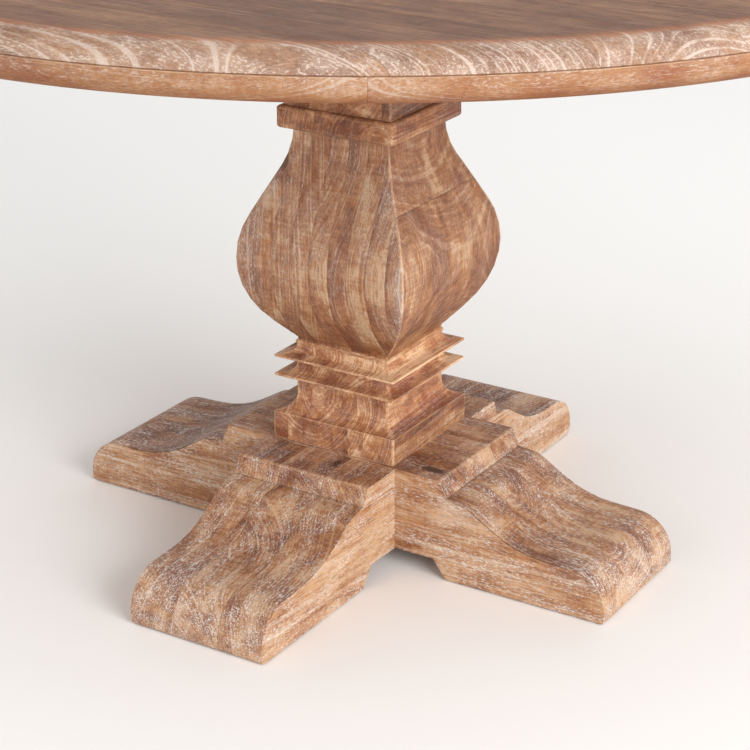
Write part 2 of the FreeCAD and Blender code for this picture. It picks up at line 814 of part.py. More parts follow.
def make_flanges():
    upper = make_flange("upper_flange", size.upper_flange_height, upper_flange_bottom)
    sink(upper, four_sides(size.vase_dowel_place), size.vase_dowel_diameter, size.upper_flange_height,
         size.flange_dowel_bite, upwards=False)
    make_flange("lower_flange", size.lower_flange_height, lower_flange_bottom)


def make_plinth_block():
    """The glued block on the cross of the beams: upright plinth, then a cove up to its neck."""
    body = new_body("plinth_block")
    cove = smaller(size.plinth_cove, plinth_half - size.plinth_neck_half - COVE_STOP)
    square_moulding(body, [
        (plinth_half, 0),
        (plinth_half, size.plinth_height),
        (size.plinth_neck_half, size.plinth_height, cove),
        (size.plinth_neck_half, size.plinth_height + size.plinth_neck_height),
    ], plinth_half)
    drill(body, [(0, 0)], rod_hole)
    sink(body, four_corners(beam_board), size.base_insert_diameter, 0, size.base_insert_length)
    sink(body, four_sides(size.base_dowel_place), size.base_dowel_diameter, 0, size.base_dowel_length / 2)
    lift(body, size.pad_height)


def make_tie_rod():
    """The rod from under the beams to the cap plate, with a nut and a washer at each end."""
    diameter = size.rod_diameter
    thick = diameter * WASHER_THICKNESS
    nut = diameter * NUT_HEIGHT
    low_nut = rod_washer_seat - thick - nut
    top_nut = rod_top_seat + thick
    middle = (0, 0)
    body = new_body("tie_rod")
    turned(body, middle, [(diameter / 2, low_nut - size.rod_end, top_nut + nut + size.rod_end)])
    body = new_body("tie_rod_nuts", several=True)
    hexagon(body, middle, diameter, low_nut, nut, hole=diameter)
    hexagon(body, middle, diameter, top_nut, nut, hole=diameter)
    body = new_body("tie_rod_washers", several=True)
    washer(body, middle, diameter, rod_washer_seat - thick)
    washer(body, middle, diameter, rod_top_seat)


# ---- the base ------------------------------------------------------------------------------

def beam_profile():
    """Side view of a beam end: raised pad, step, ogee, rounded toe, sole, relief."""
    flat_run = toe_reach - size.dip_reach - size.toe_round
    dip = smaller(size.dip_round, flat_run * 2)
    return [
        (size.relief_reach, size.relief_height),
        (size.sole_reach, size.foot_lift),
        (toe_reach, size.foot_lift, size.toe_edge_round),
        (toe_reach, size.toe_height, size.toe_round),
        (size.dip_reach, size.dip_height, dip),
        (size.hump_reach, size.hump_height, size.hump_round),
        (size.step_reach, size.step_height),
        (size.pad_reach, size.pad_height, size.pad_round),
    ]


def make_beam_board(label, side, upper):
    """One of a beam's three boards. The upper beam is notched from below, the lower from above."""
    body = new_body(label)
    middle = beam_board * side
    outline = new_sketch(body, XZ, (0, 0, -middle))
    draw_outline(outline, mirrored(beam_profile()))
    pad(body, outline, beam_board, both_ways=True)
    notch = new_sketch(body, XZ)
    low = -SAW_ROOM if upper else lap_height
    high = lap_height if upper else size.pad_height + SAW_ROOM
    draw_outline(notch, box_outline(beam_half, low, high))
    pocket_through(body, notch)
    if side == 0:
        drill(body, [(0, 0)], rod_hole)
    else:
        drill(body, [(-beam_board, middle), (beam_board, middle)], base_bolt_hole)
        glide = toe_reach - size.glide_setback
        sink(body, [(-glide, middle), (glide, middle)], size.glide_pin_diameter, size.foot_lift,
             size.glide_pin_length)
    if not upper and side == 0:
        sink(body, [(0, 0)], rod_washer_hole, size.relief_height, size.rod_sink)
    if not upper and side != 0:
        sink(body, [(-beam_board, middle), (beam_board, middle)], base_washer_hole, size.relief_height,
             size.base_bolt_sink)
    if upper:
        half = size.base_dowel_length / 2
        places = [(-size.base_dowel_place, 0), (size.base_dowel_place, 0)]
        if side != 0:
            places = [(0, size.base_dowel_place * side)]
        sink(body, places, size.base_dowel_diameter, size.pad_height, half, upwards=False)
    return body


def make_beams():
    """Beam b along X over beam a along Y, each of three boards glued face to face."""
    for number, side in enumerate((-1, 0, 1), start=1):
        turn(make_beam_board(f"base_beam_a_board_{number}", side, upper=False), 90)
        make_beam_board(f"base_beam_b_board_{number}", side, upper=True)


def make_base_fasteners():
    """Bolts up through the lap into inserts in the plinth block, and dowels beside them."""
    diameter = size.base_bolt_diameter
    place = (beam_board, beam_board)
    washer_bottom = base_washer_seat - diameter * WASHER_THICKNESS
    head_bottom = washer_bottom - diameter * HEAD_HEIGHT
    body = new_body("base_bolts", several=True)
    head = hexagon(body, place, diameter, head_bottom, diameter * HEAD_HEIGHT)
    shank = turned(body, place, [(diameter / 2, washer_bottom, size.pad_height + size.base_bolt_bite)])
    around(body, [head, shank])
    body = new_body("base_bolt_washers", several=True)
    around(body, [washer(body, place, diameter, washer_bottom)])
    body = new_body("base_inserts", several=True)
    insert = ring(body, place, size.base_insert_diameter, diameter, 0, size.base_insert_length)
    around(body, [insert])
    lift(body, size.pad_height)
    body = new_body("base_dowels", several=True)
    half = size.base_dowel_length / 2
    around(body, [turned(body, (size.base_dowel_place, 0), [(size.base_dowel_diameter / 2, -half, half)])])
    lift(body, size.pad_height)


def make_foot_glides():
    """Two nylon glides under each toe, each with a pin up into the wood."""
    body = new_body("foot_glides", several=True)
    reach = toe_reach - size.glide_setback
    pin_end = size.foot_lift + size.glide_pin_length
    steps = [
        (size.glide_diameter / 2, 0, size.foot_lift),
        (size.glide_pin_diameter / 2, size.foot_lift, pin_end),
    ]
    around(body, [turned(body, (reach, beam_board * side), steps) for side in (-1, 1)])


# ---- build, check and write ----------------------------------------------------------------

def check_document():
    """Stop if any object failed, or any sub-part has no valid solid."""
    for thing in doc.Objects:
        if "Invalid" in thing.State or "Error" in thing.State:
            raise RuntimeError(f"{thing.Label} ({thing.Name}) failed: {thing.State}")
    for body in parts:
        if body.Shape.isNull() or not body.Shape.isValid() or not body.Shape.Solids:
            raise RuntimeError(f"{body.Label} has no valid solid")


def write_parts():
    os.makedirs("parts", exist_ok=True)
    for body in parts:
        body.Shape.exportStep(f"parts/{body.Label}.step")
        box = body.Shape.BoundBox
        print(f"{body.Label}: {len(body.Shape.Solids)} solids, z {box.ZMin:.1f} to {box.ZMax:.1f}")


make_top_boards()
make_rim_segments()
make_battens()
make_centre_cleat()
make_top_screws()
make_top_bolts()
make_cap_plate()
make_capital()
make_collar()
make_vase_boards()
make_vase_dowels()
make_fillet_plate()
make_flanges()
make_plinth_block()
make_tie_rod()
make_beams()
make_base_fasteners()
make_foot_glides()
doc.recompute()
check_document()
write_parts()
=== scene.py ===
import json
import math
import bpy
import numpy as np
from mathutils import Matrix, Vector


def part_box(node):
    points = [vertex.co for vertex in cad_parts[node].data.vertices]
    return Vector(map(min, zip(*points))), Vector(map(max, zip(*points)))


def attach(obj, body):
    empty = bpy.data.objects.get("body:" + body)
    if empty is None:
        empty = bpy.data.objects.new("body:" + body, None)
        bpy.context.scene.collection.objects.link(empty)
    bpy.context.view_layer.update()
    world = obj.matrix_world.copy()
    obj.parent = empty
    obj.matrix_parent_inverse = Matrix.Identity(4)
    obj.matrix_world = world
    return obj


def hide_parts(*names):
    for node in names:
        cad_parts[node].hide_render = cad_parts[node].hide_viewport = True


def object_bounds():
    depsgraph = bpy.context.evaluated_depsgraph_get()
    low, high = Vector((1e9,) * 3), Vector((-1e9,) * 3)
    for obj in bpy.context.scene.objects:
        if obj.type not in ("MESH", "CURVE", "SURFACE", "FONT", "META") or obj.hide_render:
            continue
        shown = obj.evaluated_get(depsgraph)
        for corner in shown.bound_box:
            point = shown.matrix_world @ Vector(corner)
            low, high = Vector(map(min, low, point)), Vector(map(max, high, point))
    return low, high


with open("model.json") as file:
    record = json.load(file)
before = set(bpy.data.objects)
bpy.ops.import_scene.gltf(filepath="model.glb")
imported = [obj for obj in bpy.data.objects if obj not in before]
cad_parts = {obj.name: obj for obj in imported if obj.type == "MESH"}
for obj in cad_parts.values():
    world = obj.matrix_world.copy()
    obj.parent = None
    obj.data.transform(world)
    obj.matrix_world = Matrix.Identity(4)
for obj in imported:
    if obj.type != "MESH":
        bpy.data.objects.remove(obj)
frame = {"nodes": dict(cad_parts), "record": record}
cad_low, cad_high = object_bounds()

# A round pedestal table in limewashed mango wood. Every visible piece of wood is rebuilt on its
# CAD node as a grid of points with eased and rubbed edges; battens, cleat, cap plate and all
# fasteners stay as the CAD made them. Shapes are worked out in millimetres, in the row frame.

MM = 0.001
DRAWN_TO = 0.002        # mm; points closer than this are one point
EASE = 0.5              # mm, edge left by sandpaper where no radius is named
TIGHT = 4.5             # mm, arcs up to this radius are edges that hands and rags reach
ARC_STEP = 9.0          # degrees between points on an arc
GUARD = 1.2             # mm beyond an arc to the next point, so that its shading stays on it
SHARP = 40.0            # degrees; a steeper fold than this stays a crisp edge
JOINT_EASE = 0.35       # mm, sandpaper's mark along a glue line


# ---- numbers from the frame ----------------------------------------------------------------

def node_box(node):
    """Lowest and highest corner of a CAD node in millimetres."""
    low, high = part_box(node)
    return np.array(low) / MM, np.array(high) / MM


def wobble(values, seed, reach):
    """Slow random waviness between -1 and 1 along values in mm, with waves about reach mm long.

    w(s) = sum of three sines with random phases, divided by 3.
    """
    chance = np.random.default_rng(seed)
    values = np.asarray(values, float)
    total = np.zeros_like(values)
    for part in (1.0, 1.9, 3.3):
        total = total + np.sin(values * (2 * math.pi * part / reach) + chance.uniform(0, 2 * math.pi))
    return total / 3


# ---- outlines ------------------------------------------------------------------------------

def unit(vector):
    return vector / np.linalg.norm(vector)


def trace(corners, solid_side=1):
    """Points along an open path of straight runs joined by tangent arcs, with bend and normal.

    A corner is (u, v) or (u, v, radius). With h half the angle between its two runs, the arc
    leaves each run radius / tan(h) from the corner, about a centre radius / sin(h) from it on the
    bisector: p(t) = c + R(t) (start - c), t from 0 to the turn. The bend is 1 on a tight outside
    edge, -1 in a tight inside crease and 0 elsewhere. The normal points out of the solid, which
    lies on the left of the path for solid_side 1 and on its right for -1.
    """
    given = np.array([corner[:2] for corner in corners], float)
    heading = unit(given[1] - given[0])
    points = [given[0]]
    bend = [0.0]
    normal = [(heading[1], -heading[0])]
    for index in range(1, len(corners) - 1):
        place = given[index]
        back = unit(given[index - 1] - place)
        ahead = unit(given[index + 1] - place)
        side = float(np.sign(-back[0] * ahead[1] + back[1] * ahead[0]))
        radius = corners[index][2] if len(corners[index]) > 2 else EASE
        half = 0.5 * math.acos(float(np.clip(back @ ahead, -1, 1)))
        start = place + back * (radius / math.tan(half))
        finish = place + ahead * (radius / math.tan(half))
        centre = place + unit(back + ahead) * (radius / math.sin(half))
        turn = (math.pi - 2 * half) * side
        count = max(3, math.ceil(abs(math.degrees(turn)) / ARC_STEP))
        t = np.linspace(0, turn, count + 1)
        spoke = start - centre
        spun = np.stack([spoke[0] * np.cos(t) - spoke[1] * np.sin(t),
                         spoke[0] * np.sin(t) + spoke[1] * np.cos(t)], -1)
        before = start + back * min(GUARD, 0.4 * np.linalg.norm(start - points[-1]))
        after = finish + ahead * min(GUARD, 0.25 * np.linalg.norm(given[index + 1] - finish))
        points.extend([before, *(centre + spun), after])
        bend.extend([0.0, *[side * solid_side if radius <= TIGHT else 0.0] * (count + 1), 0.0])
        normal.extend([(-back[1], back[0]), *(spun * (side / radius)), (ahead[1], -ahead[0])])
    points.append(given[-1])
    bend.append(0.0)
    normal.append(normal[-1])
    return np.array(points), np.array(bend), np.array(normal) * solid_side


def refine(points, bend, longest):
    """The same path with no straight run longer than longest."""
    dense = [points[0]]
    dense_bend = [bend[0]]
    for index in range(1, len(points)):
        gap = np.linalg.norm(points[index] - points[index - 1])
        pieces = max(1, math.ceil(gap / longest))
        for share in np.arange(1, pieces + 1) / pieces:
            dense.append(points[index - 1] * (1 - share) + points[index] * share)
            dense_bend.append(bend[index - 1] * (1 - share) + bend[index] * share)
    return np.array(dense), np.array(dense_bend)


# ---- meshes --------------------------------------------------------------------------------

class Shell:
    """Grids of points in mm, welded into one closed mesh, and what the material reads on them.

    finish holds, for every point, how far it is rubbed bare, darkened and limewashed, and how
    pale the wood is there: (wear, glaze, wash, shade). Each runs from 0 to 1, but a thick coat of
    wash goes past 1.
    """

    def __init__(self):
        self.points = []
        self.finish = []
        self.faces = []
        self.count = 0

    def take(self, points, finish):
        """Adds a grid (rows, columns) of points, and gives its indices."""
        rows, columns = points.shape[:2]
        self.points.append(points.reshape(-1, 3))
        self.finish.append(np.broadcast_to(finish, (rows, columns, 4)).reshape(-1, 4))
        indices = np.arange(rows * columns).reshape(rows, columns) + self.count
        self.count += rows * columns
        return indices

    def quads(self, first, second, third, fourth):
        self.faces.append(np.stack([first, second, third, fourth], -1).reshape(-1, 4))

    def between(self, indices, flip=False):
        """The faces between neighbours of a grid."""
        a, b, c, d = indices[:-1, :-1], indices[:-1, 1:], indices[1:, 1:], indices[1:, :-1]
        if flip:
            self.quads(a, d, c, b)
        else:
            self.quads(a, b, c, d)

    def boxed(self, upper, lower, upper_finish, lower_finish):
        """Two facing grids of one shape, closed along their four borders like a box."""
        top = self.take(upper, upper_finish)
        bottom = self.take(lower, lower_finish)
        self.between(top)
        self.between(bottom, flip=True)
        for grid_slice in ((0, slice(None)), (slice(None), -1), (-1, slice(None, None, -1)),
                           (slice(None, None, -1), 0)):
            high, low = top[grid_slice], bottom[grid_slice]
            self.quads(high[1:], high[:-1], low[:-1], low[1:])

    def ringed(self, points, finish):
        """A grid closed both ways, like a tube bent round to meet itself."""
        indices = self.take(points, finish)
        indices = np.vstack([indices, indices[:1]])
        self.between(np.hstack([indices, indices[:, :1]]))

    def welded(self):
        """Points, faces and finish once doubled points are one and flattened faces are gone."""
        points = np.concatenate(self.points)
        keys = np.round(points / DRAWN_TO).astype(np.int64)
        _, first, place = np.unique(keys, axis=0, return_index=True, return_inverse=True)
        faces = []
        for face in place.reshape(-1)[np.concatenate(self.faces)].tolist():
            kept = [v for i, v in enumerate(face) if v != face[i - 1]]
            if len(kept) > 2 and len(set(kept)) == len(kept):
                faces.append(kept)
        points = points[first]
        if volume(points, faces) < 0:
            faces = [face[::-1] for face in faces]
        return points, faces, np.concatenate(self.finish)[first]


def volume(points, faces):
    """Six times the signed volume inside a closed mesh: the sum of a . (b x c) over its fans."""
    total = 0.0
    for face in faces:
        corner = points[face]
        for i in range(1, len(face) - 1):
            total += float(corner[0] @ np.cross(corner[i], corner[i + 1]))
    return total


LOG_LENGTH = 1500.0     # mm of trunk that a piece may come from
PITH_LEAN = 0.035       # most that the pith leans from a piece's length
PITH_WANDER = 0.4       # radians either way from the side where the pith is meant to be
PITH_FAR = (30, 75)     # mm from the middle of a piece to the pith


def sawn(points, along, stacked, seed, quarter, pith_far):
    """Where each point lay in the log, in metres.

    The pith is a line beside the piece, a few degrees off its length, so rings run out on the
    faces as they do in real boards: q = (p . along, p . across, p . stacked) + offset + lean s.
    quarter is the direction of the pith seen along the grain, in radians from across.
    """
    chance = np.random.default_rng(seed)
    across = np.cross(stacked, along)
    if quarter is None:
        angle = chance.uniform(0, 2 * math.pi)
    else:
        angle = quarter + chance.uniform(-PITH_WANDER, PITH_WANDER)
    far = chance.uniform(*pith_far)
    run = points @ along
    lean = chance.uniform(-PITH_LEAN, PITH_LEAN, 2)
    middle = points.mean(0)
    return np.stack([
        run + chance.uniform(0, LOG_LENGTH),
        (points - middle) @ across + far * math.cos(angle) + lean[0] * run,
        (points - middle) @ stacked + far * math.sin(angle) + lean[1] * run,
    ], -1) * MM


def make_piece(node, shell, material, along, stacked, seed, strip=None, quarter=None,
               pith_far=PITH_FAR):
    """The shell as a mesh object in the row frame, standing for its CAD node.

    along is the grain, stacked the direction in which strips strip mm wide are glued together.
    """
    points, faces, finish = shell.welded()
    along = np.array(along, float)
    stacked = np.array(stacked, float)
    log = sawn(points, along, stacked, seed, quarter, pith_far)
    place = points @ stacked
    strip_place = (place - place.min()) * (1 / strip if strip else 0.0)
    lamina = np.stack([strip_place, np.full(len(points), float(seed)), finish[:, 3]], -1)
    mesh = bpy.data.meshes.new(node + "_wood")
    mesh.from_pydata((points * MM).tolist(), [], faces)
    mesh.shade_smooth()
    mesh.set_sharp_from_angle(angle=math.radians(SHARP))
    for label, columns in (("timber", log), ("lamina", lamina), ("finish", finish[:, :3])):
        attribute = mesh.attributes.new(label, "FLOAT_VECTOR", "POINT")
        attribute.data.foreach_set("vector", np.ascontiguousarray(columns, dtype=np.float32).ravel())
    mesh.materials.append(material)
    mesh.update()
    piece = bpy.data.objects.new(node + "_wood", mesh)
    bpy.context.collection.objects.link(piece)
    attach(piece, "root")
    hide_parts(node)


# ---- materials -----------------------------------------------------------------------------

def linear(code, alpha=1.0):
    """An sRGB hex colour as linear RGBA: ((c + 0.055) / 1.055)^2.4 above 0.04045, else c / 12.92."""
    channels = [int(code[i:i + 2], 16) / 255 for i in (1, 3, 5)]
    return [((c + 0.055) / 1.055) ** 2.4 if c > 0.04045 else c / 12.92 for c in channels] + [alpha]


class Recipe:
    """One node material."""

    def __init__(self, name):
        self.material = bpy.data.materials.new(name)
        self.material.use_nodes = True
        self.tree = self.material.node_tree
        self.tree.nodes.clear()

    def add(self, kind, inputs=None, give=0, stops=None, **settings):
        """Adds a node with its settings and links, and gives one of its outputs.

        inputs maps a socket's name or number to another node's output or to a constant.
        """
        node = self.tree.nodes.new("ShaderNode" + kind)
        for label, value in settings.items():
            setattr(node, label, value)
        for label, value in (inputs or {}).items():
            if isinstance(value, bpy.types.NodeSocket):
                self.tree.links.new(value, node.inputs[label])
            else:
                node.inputs[label].default_value = value
        if stops:
            ramp = node.color_ramp
            ramp.elements[0].position, ramp.elements[0].color = stops[0]
            ramp.elements[1].position, ramp.elements[1].color = stops[-1]
            for place, colour in stops[1:-1]:
                ramp.elements.new(place).color = colour
        return node.outputs[give] if node.outputs else node


def band_scale(width):
    """Scale of a Wave texture whose bands are width mm apart: 2 pi / (20 width)."""
    return 2 * math.pi / (20 * width * MM)


def per_metre(long, wide):
    """Counts per metre of things long mm along the grain and wide mm across it."""
    return 1 / (long * MM), 1 / (wide * MM), 1 / (wide * MM)


def limewashed_mango(name, dark, mid, light, bleached, arris, wash, rubbed, glaze, ring, ring_depth, figure,
                     wash_grip, flecked, streaks, clouds, roughness):
    """Planed mango wood, stained, limewashed, rubbed back and waxed.

    Gives the eye: growth rings cut as each face cuts the log, streaks and short pores along the
    grain, chalky wash lying in the open rings and in patches, a few small knots that the rings
    bend round, scorched brown patches, glued strips of different boards, pale or rusty arrises
    where the finish is rubbed off and dark pigment left in the creases.

    The body runs from dark to bleached. arris is the colour of rubbed edges, rubbed that of the
    scorched patches and glaze that of knots, pores and creases. ring is the ring width and figure
    how far rings wander, both in mm. The rest are strengths: of the rings, of wash in the rings
    and in flecks, of streaks and of clouds.
    """
    dark, mid, light, bleached, arris, wash, rubbed, glaze = map(
        linear, (dark, mid, light, bleached, arris, wash, rubbed, glaze))
    r = Recipe(name)
    timber = r.add("Attribute", give="Vector", attribute_name="timber")
    lamina = r.add("Attribute", give="Vector", attribute_name="lamina")
    finish = r.add("Attribute", give="Vector", attribute_name="finish")
    strip_place, seed, shade = r.add("SeparateXYZ", {0: lamina}).node.outputs
    wear, crease, washed = r.add("SeparateXYZ", {0: finish}).node.outputs

    # each glued strip comes from its own place in a log
    strip = r.add("Math", {0: strip_place}, operation="FLOOR")
    draw = r.add("CombineXYZ", {0: strip, 1: seed})
    chance = r.add("TexWhiteNoise", {"Vector": draw}, give="Color", noise_dimensions="3D")
    strip_tone = r.add("SeparateXYZ", {0: chance})
    glued = r.add("VectorMath", {0: chance, 1: (0.9, 0.03, 0.03), 2: timber}, operation="MULTIPLY_ADD")

    # knots about 12 mm across, in a quarter of the cells of 200 x 77 mm; rings bend round them
    cells = r.add("VectorMath", {0: glued, 1: per_metre(200, 76.92)}, operation="MULTIPLY")
    spot = r.add("TexVoronoi", {"Vector": cells, "Scale": 1.0, "Randomness": 0.9}, give="Distance").node
    knot_draw = r.add("SeparateXYZ", {0: spot.outputs["Color"]})
    has_knot = r.add("Math", {0: knot_draw, 1: 0.74}, operation="GREATER_THAN")
    near_knot = r.add("MapRange", {0: spot.outputs["Distance"], 1: 0.42, 2: 0.05, 3: 0.0, 4: 1.0},
                      interpolation_type="SMOOTHSTEP")
    swirl = r.add("Math", {0: near_knot, 1: has_knot}, operation="MULTIPLY")
    heart = r.add("MapRange", {0: spot.outputs["Distance"], 1: 0.10, 2: 0.05, 3: 0.0, 4: 1.0},
                  interpolation_type="SMOOTHSTEP")
    heart = r.add("Math", {0: heart, 1: has_knot}, operation="MULTIPLY")

    # growth rings: uneven bands by distance from the pith, wavy along the trunk
    drawn_out = r.add("VectorMath", {0: glued, 1: per_metre(413.2, 90.91)}, operation="MULTIPLY")
    sway = r.add("TexNoise", {"Vector": drawn_out, "Scale": 1.0, "Detail": 2.0, "Roughness": 0.5},
                 give="Color")
    sway = r.add("VectorMath", {0: sway, 1: (0.5, 0.5, 0.5)}, operation="SUBTRACT")
    spread = (0.0, figure * MM, figure * MM)
    bent = r.add("VectorMath", {0: sway, 1: spread, 2: glued}, operation="MULTIPLY_ADD")
    push = r.add("CombineXYZ", {1: swirl, 2: swirl})
    bent = r.add("VectorMath", {0: push, 1: (0.0, 0.016, 0.012), 2: bent}, operation="MULTIPLY_ADD")
    spoke = r.add("VectorMath", {0: bent, 1: (0.0, 1.0, 1.0)}, operation="MULTIPLY")
    radius = r.add("VectorMath", {0: spoke}, give="Value", operation="LENGTH")
    rings = r.add("TexNoise", {"W": radius, "Scale": 1.7 / (ring * MM), "Detail": 2.0, "Roughness": 0.7},
                  noise_dimensions="1D")
    rings = r.add("MapRange", {0: rings, 1: 0.32, 2: 0.68, 3: 0.0, 4: 1.0})
    line = r.add("MapRange", {0: rings, 1: 0.64, 2: 0.92, 3: 0.0, 4: 1.0}, interpolation_type="SMOOTHSTEP")

    # patterns by their length along the grain and width across it in mm, detail and roughness:
    # streaks, fibres, limed flecks and open pores, plane marks across the grain, and clouds where
    # the stain scorched and where the wash was rubbed in; real pores are finer, and these are as
    # coarse as they need to be to show
    drawn = {}
    for label, place, long, wide, detail, coarse in (
            ("streak", bent, 384.6, 16.67, 4.0, 0.62),
            ("fibre", bent, 38.46, 2.381, 2.0, 0.6),
            ("fleck", bent, 5.263, 1.5625, 2.0, 0.7),
            ("pore", bent, 12.5, 1.4286, 1.0, 0.5),
            ("scratch", glued, 2.6316, 62.5, 2.0, 0.6),
            ("patch", glued, 83.33, 41.67, 4.0, 0.68),
            ("cloud", glued, 85.47, 22.624, 5.0, 0.7)):
        stretched = r.add("VectorMath", {0: place, 1: per_metre(long, wide)}, operation="MULTIPLY")
        drawn[label] = r.add("TexNoise", {"Vector": stretched, "Scale": 1.0, "Detail": detail,
                                          "Roughness": coarse})
    streak, fibre, scratch, patch = (drawn[label] for label in ("streak", "fibre", "scratch", "patch"))
    fleck = r.add("MapRange", {0: drawn["fleck"], 1: 0.53, 2: 0.60, 3: 0.0, 4: 1.0})
    pore = r.add("MapRange", {0: drawn["pore"], 1: 0.56, 2: 0.68, 3: 0.0, 4: 1.0})
    cloud = r.add("MapRange", {0: drawn["cloud"], 1: 0.40, 2: 0.62, 3: 0.0, 4: 1.0})

    # body colour: a ramp from streak, scratch, patch, ring and fibre, shifted by place and by
    # strip; streaks, marks and patches are weaker where the wood is pale
    calm = r.add("MapRange", {0: shade, 1: 0.6, 2: 0.9, 3: 1.0, 4: 0.22})
    half = 0.5 * streaks
    blotch = r.add("MapRange", {0: streak, 1: 0.28, 2: 0.72, 3: -half, 4: half}, clamp=False)
    blotch = r.add("Math", {0: scratch, 1: 0.25 * clouds, 2: blotch}, operation="MULTIPLY_ADD")
    blotch = r.add("Math", {0: patch, 1: -clouds, 2: blotch}, operation="MULTIPLY_ADD")
    blotch = r.add("Math", {0: blotch, 1: 0.375 * clouds}, operation="ADD")
    level = r.add("Math", {0: blotch, 1: calm}, operation="MULTIPLY")
    level = r.add("Math", {0: rings, 1: ring_depth, 2: level}, operation="MULTIPLY_ADD")
    level = r.add("Math", {0: fibre, 1: 0.62, 2: level}, operation="MULTIPLY_ADD")
    strip_shift = r.add("MapRange", {0: strip_tone, 1: 0.0, 2: 1.0, 3: 0.18 - 0.5 * ring_depth,
                                     4: 0.44 - 0.5 * ring_depth})
    level = r.add("Math", {0: level, 1: strip_shift}, operation="ADD")
    shade_shift = r.add("MapRange", {0: shade, 1: 0.0, 2: 1.0, 3: -0.40, 4: 0.36}, clamp=False)
    level = r.add("Math", {0: level, 1: shade_shift}, operation="ADD")
    body = r.add("ValToRGB", {0: level}, stops=[(0.0, dark), (0.36, mid), (0.72, light), (1.0, bleached)])
    scorch = r.add("MapRange", {0: patch, 1: 0.54, 2: 0.68, 3: 0.0, 4: 0.85},
                   interpolation_type="SMOOTHSTEP")
    scorch = r.add("Math", {0: scorch, 1: calm}, operation="MULTIPLY")
    body = r.add("Mix", {0: scorch, 6: body, 7: rubbed}, give=2, data_type="RGBA")
    pore_cover = r.add("Math", {0: pore, 1: 0.42}, operation="MULTIPLY")
    body = r.add("Mix", {0: pore_cover, 6: body, 7: glaze}, give=2, data_type="RGBA")

    # limewash in flecks, in the open rings and as a thin film over the clouds
    grip = r.add("Math", {0: fleck, 1: flecked, 2: 0.16}, operation="MULTIPLY_ADD")
    grip = r.add("Math", {0: line, 1: wash_grip, 2: grip}, operation="MULTIPLY_ADD")
    film = r.add("Math", {0: cloud, 1: 0.80, 2: 0.20}, operation="MULTIPLY_ADD")
    cover = r.add("Math", {0: grip, 1: film}, operation="MULTIPLY")
    cover = r.add("Math", {0: cover, 1: washed}, operation="MULTIPLY", use_clamp=True)
    body = r.add("Mix", {0: cover, 6: body, 7: wash}, give=2, data_type="RGBA")

    # knots, creases, glue lines and rubbed arrises
    knot_cover = r.add("Math", {0: heart, 1: 0.85}, operation="MULTIPLY")
    body = r.add("Mix", {0: knot_cover, 6: body, 7: glaze}, give=2, data_type="RGBA")
    seam = r.add("Math", {0: strip_place}, operation="FRACT")
    seam = r.add("Math", {0: seam, 1: 0.5}, operation="SUBTRACT")
    seam = r.add("Math", {0: seam}, operation="ABSOLUTE")
    seam = r.add("MapRange", {0: seam, 1: 0.475, 2: 0.498, 3: 0.0, 4: 0.28})
    dark_cover = r.add("Math", {0: patch, 1: crease}, operation="MULTIPLY")
    dark_cover = r.add("Math", {0: dark_cover, 1: 1.5, 2: seam}, operation="MULTIPLY_ADD", use_clamp=True)
    body = r.add("Mix", {0: dark_cover, 6: body, 7: glaze}, give=2, data_type="RGBA")
    bare = r.add("MapRange", {0: fibre, 1: 0.35, 2: 0.62, 3: 0.15, 4: 1.0})
    bare = r.add("Math", {0: bare, 1: wear}, operation="MULTIPLY", use_clamp=True)
    body = r.add("Mix", {0: bare, 6: body, 7: arris}, give=2, data_type="RGBA")

    # chalky where washed, waxed elsewhere; open pores and slow plane marks in the surface
    rough = r.add("MapRange", {0: cover, 1: 0.0, 2: 1.0, 3: roughness, 4: roughness + 0.22})
    height = r.add("Math", {0: pore, 1: -0.6, 2: fibre}, operation="MULTIPLY_ADD")
    height = r.add("Math", {0: fleck, 1: -0.4, 2: height}, operation="MULTIPLY_ADD")
    height = r.add("Math", {0: scratch, 1: 0.8, 2: height}, operation="MULTIPLY_ADD")
    bump = r.add("Bump", {"Strength": 0.5, "Distance": 0.0008, "Height": height})
    shader = r.add("BsdfPrincipled", {"Base Color": body, "Roughness": rough, "IOR": 1.47, "Normal": bump,
                                      "Specular IOR Level": 0.35})
    r.add("OutputMaterial", {"Surface": shader})
    return r.material


def planed_frame_wood():
    """Planed, unfinished mango under the top: plain tan with streaks along Y and faint saw marks."""
    r = Recipe("planed mango frame wood")
    place = r.add("TexCoord", give="Object")
    long_grain = r.add("VectorMath", {0: place, 1: (60.0, 3.0, 60.0)}, operation="MULTIPLY")  # 17 x 330 mm
    streak = r.add("TexNoise", {"Vector": long_grain, "Scale": 1.0, "Detail": 5.0, "Roughness": 0.6})
    body = r.add("ValToRGB", {0: streak}, stops=[(0.3, linear("#8a5f40")), (0.5, linear("#b58a62")),
                                                 (0.72, linear("#cfa880"))])
    saw = r.add("TexWave", {"Vector": place, "Scale": band_scale(3.0), "Distortion": 2.0}, give="Fac",
                wave_type="BANDS", bands_direction="Y")
    bump = r.add("Bump", {"Strength": 0.2, "Distance": 0.0003, "Height": saw})
    shader = r.add("BsdfPrincipled", {"Base Color": body, "Roughness": 0.72, "IOR": 1.47, "Normal": bump})
    r.add("OutputMaterial", {"Surface": shader})
    return r.material


def turned_beech():
    """Turned beech dowel: pale, even, with fine short flecks along the dowel."""
    r = Recipe("turned beech")
    place = r.add("TexCoord", give="Object")
    flecks = r.add("VectorMath", {0: place, 1: (900.0, 900.0, 160.0)}, operation="MULTIPLY")  # 1 x 6 mm
    fleck = r.add("TexNoise", {"Vector": flecks, "Scale": 1.0, "Detail": 2.0})
    body = r.add("ValToRGB", {0: fleck}, stops=[(0.35, linear("#c79a6b")), (0.6, linear("#dcb78c"))])
    shader = r.add("BsdfPrincipled", {"Base Color": body, "Roughness": 0.6, "IOR": 1.47})
    r.add("OutputMaterial", {"Surface": shader})
    return r.material


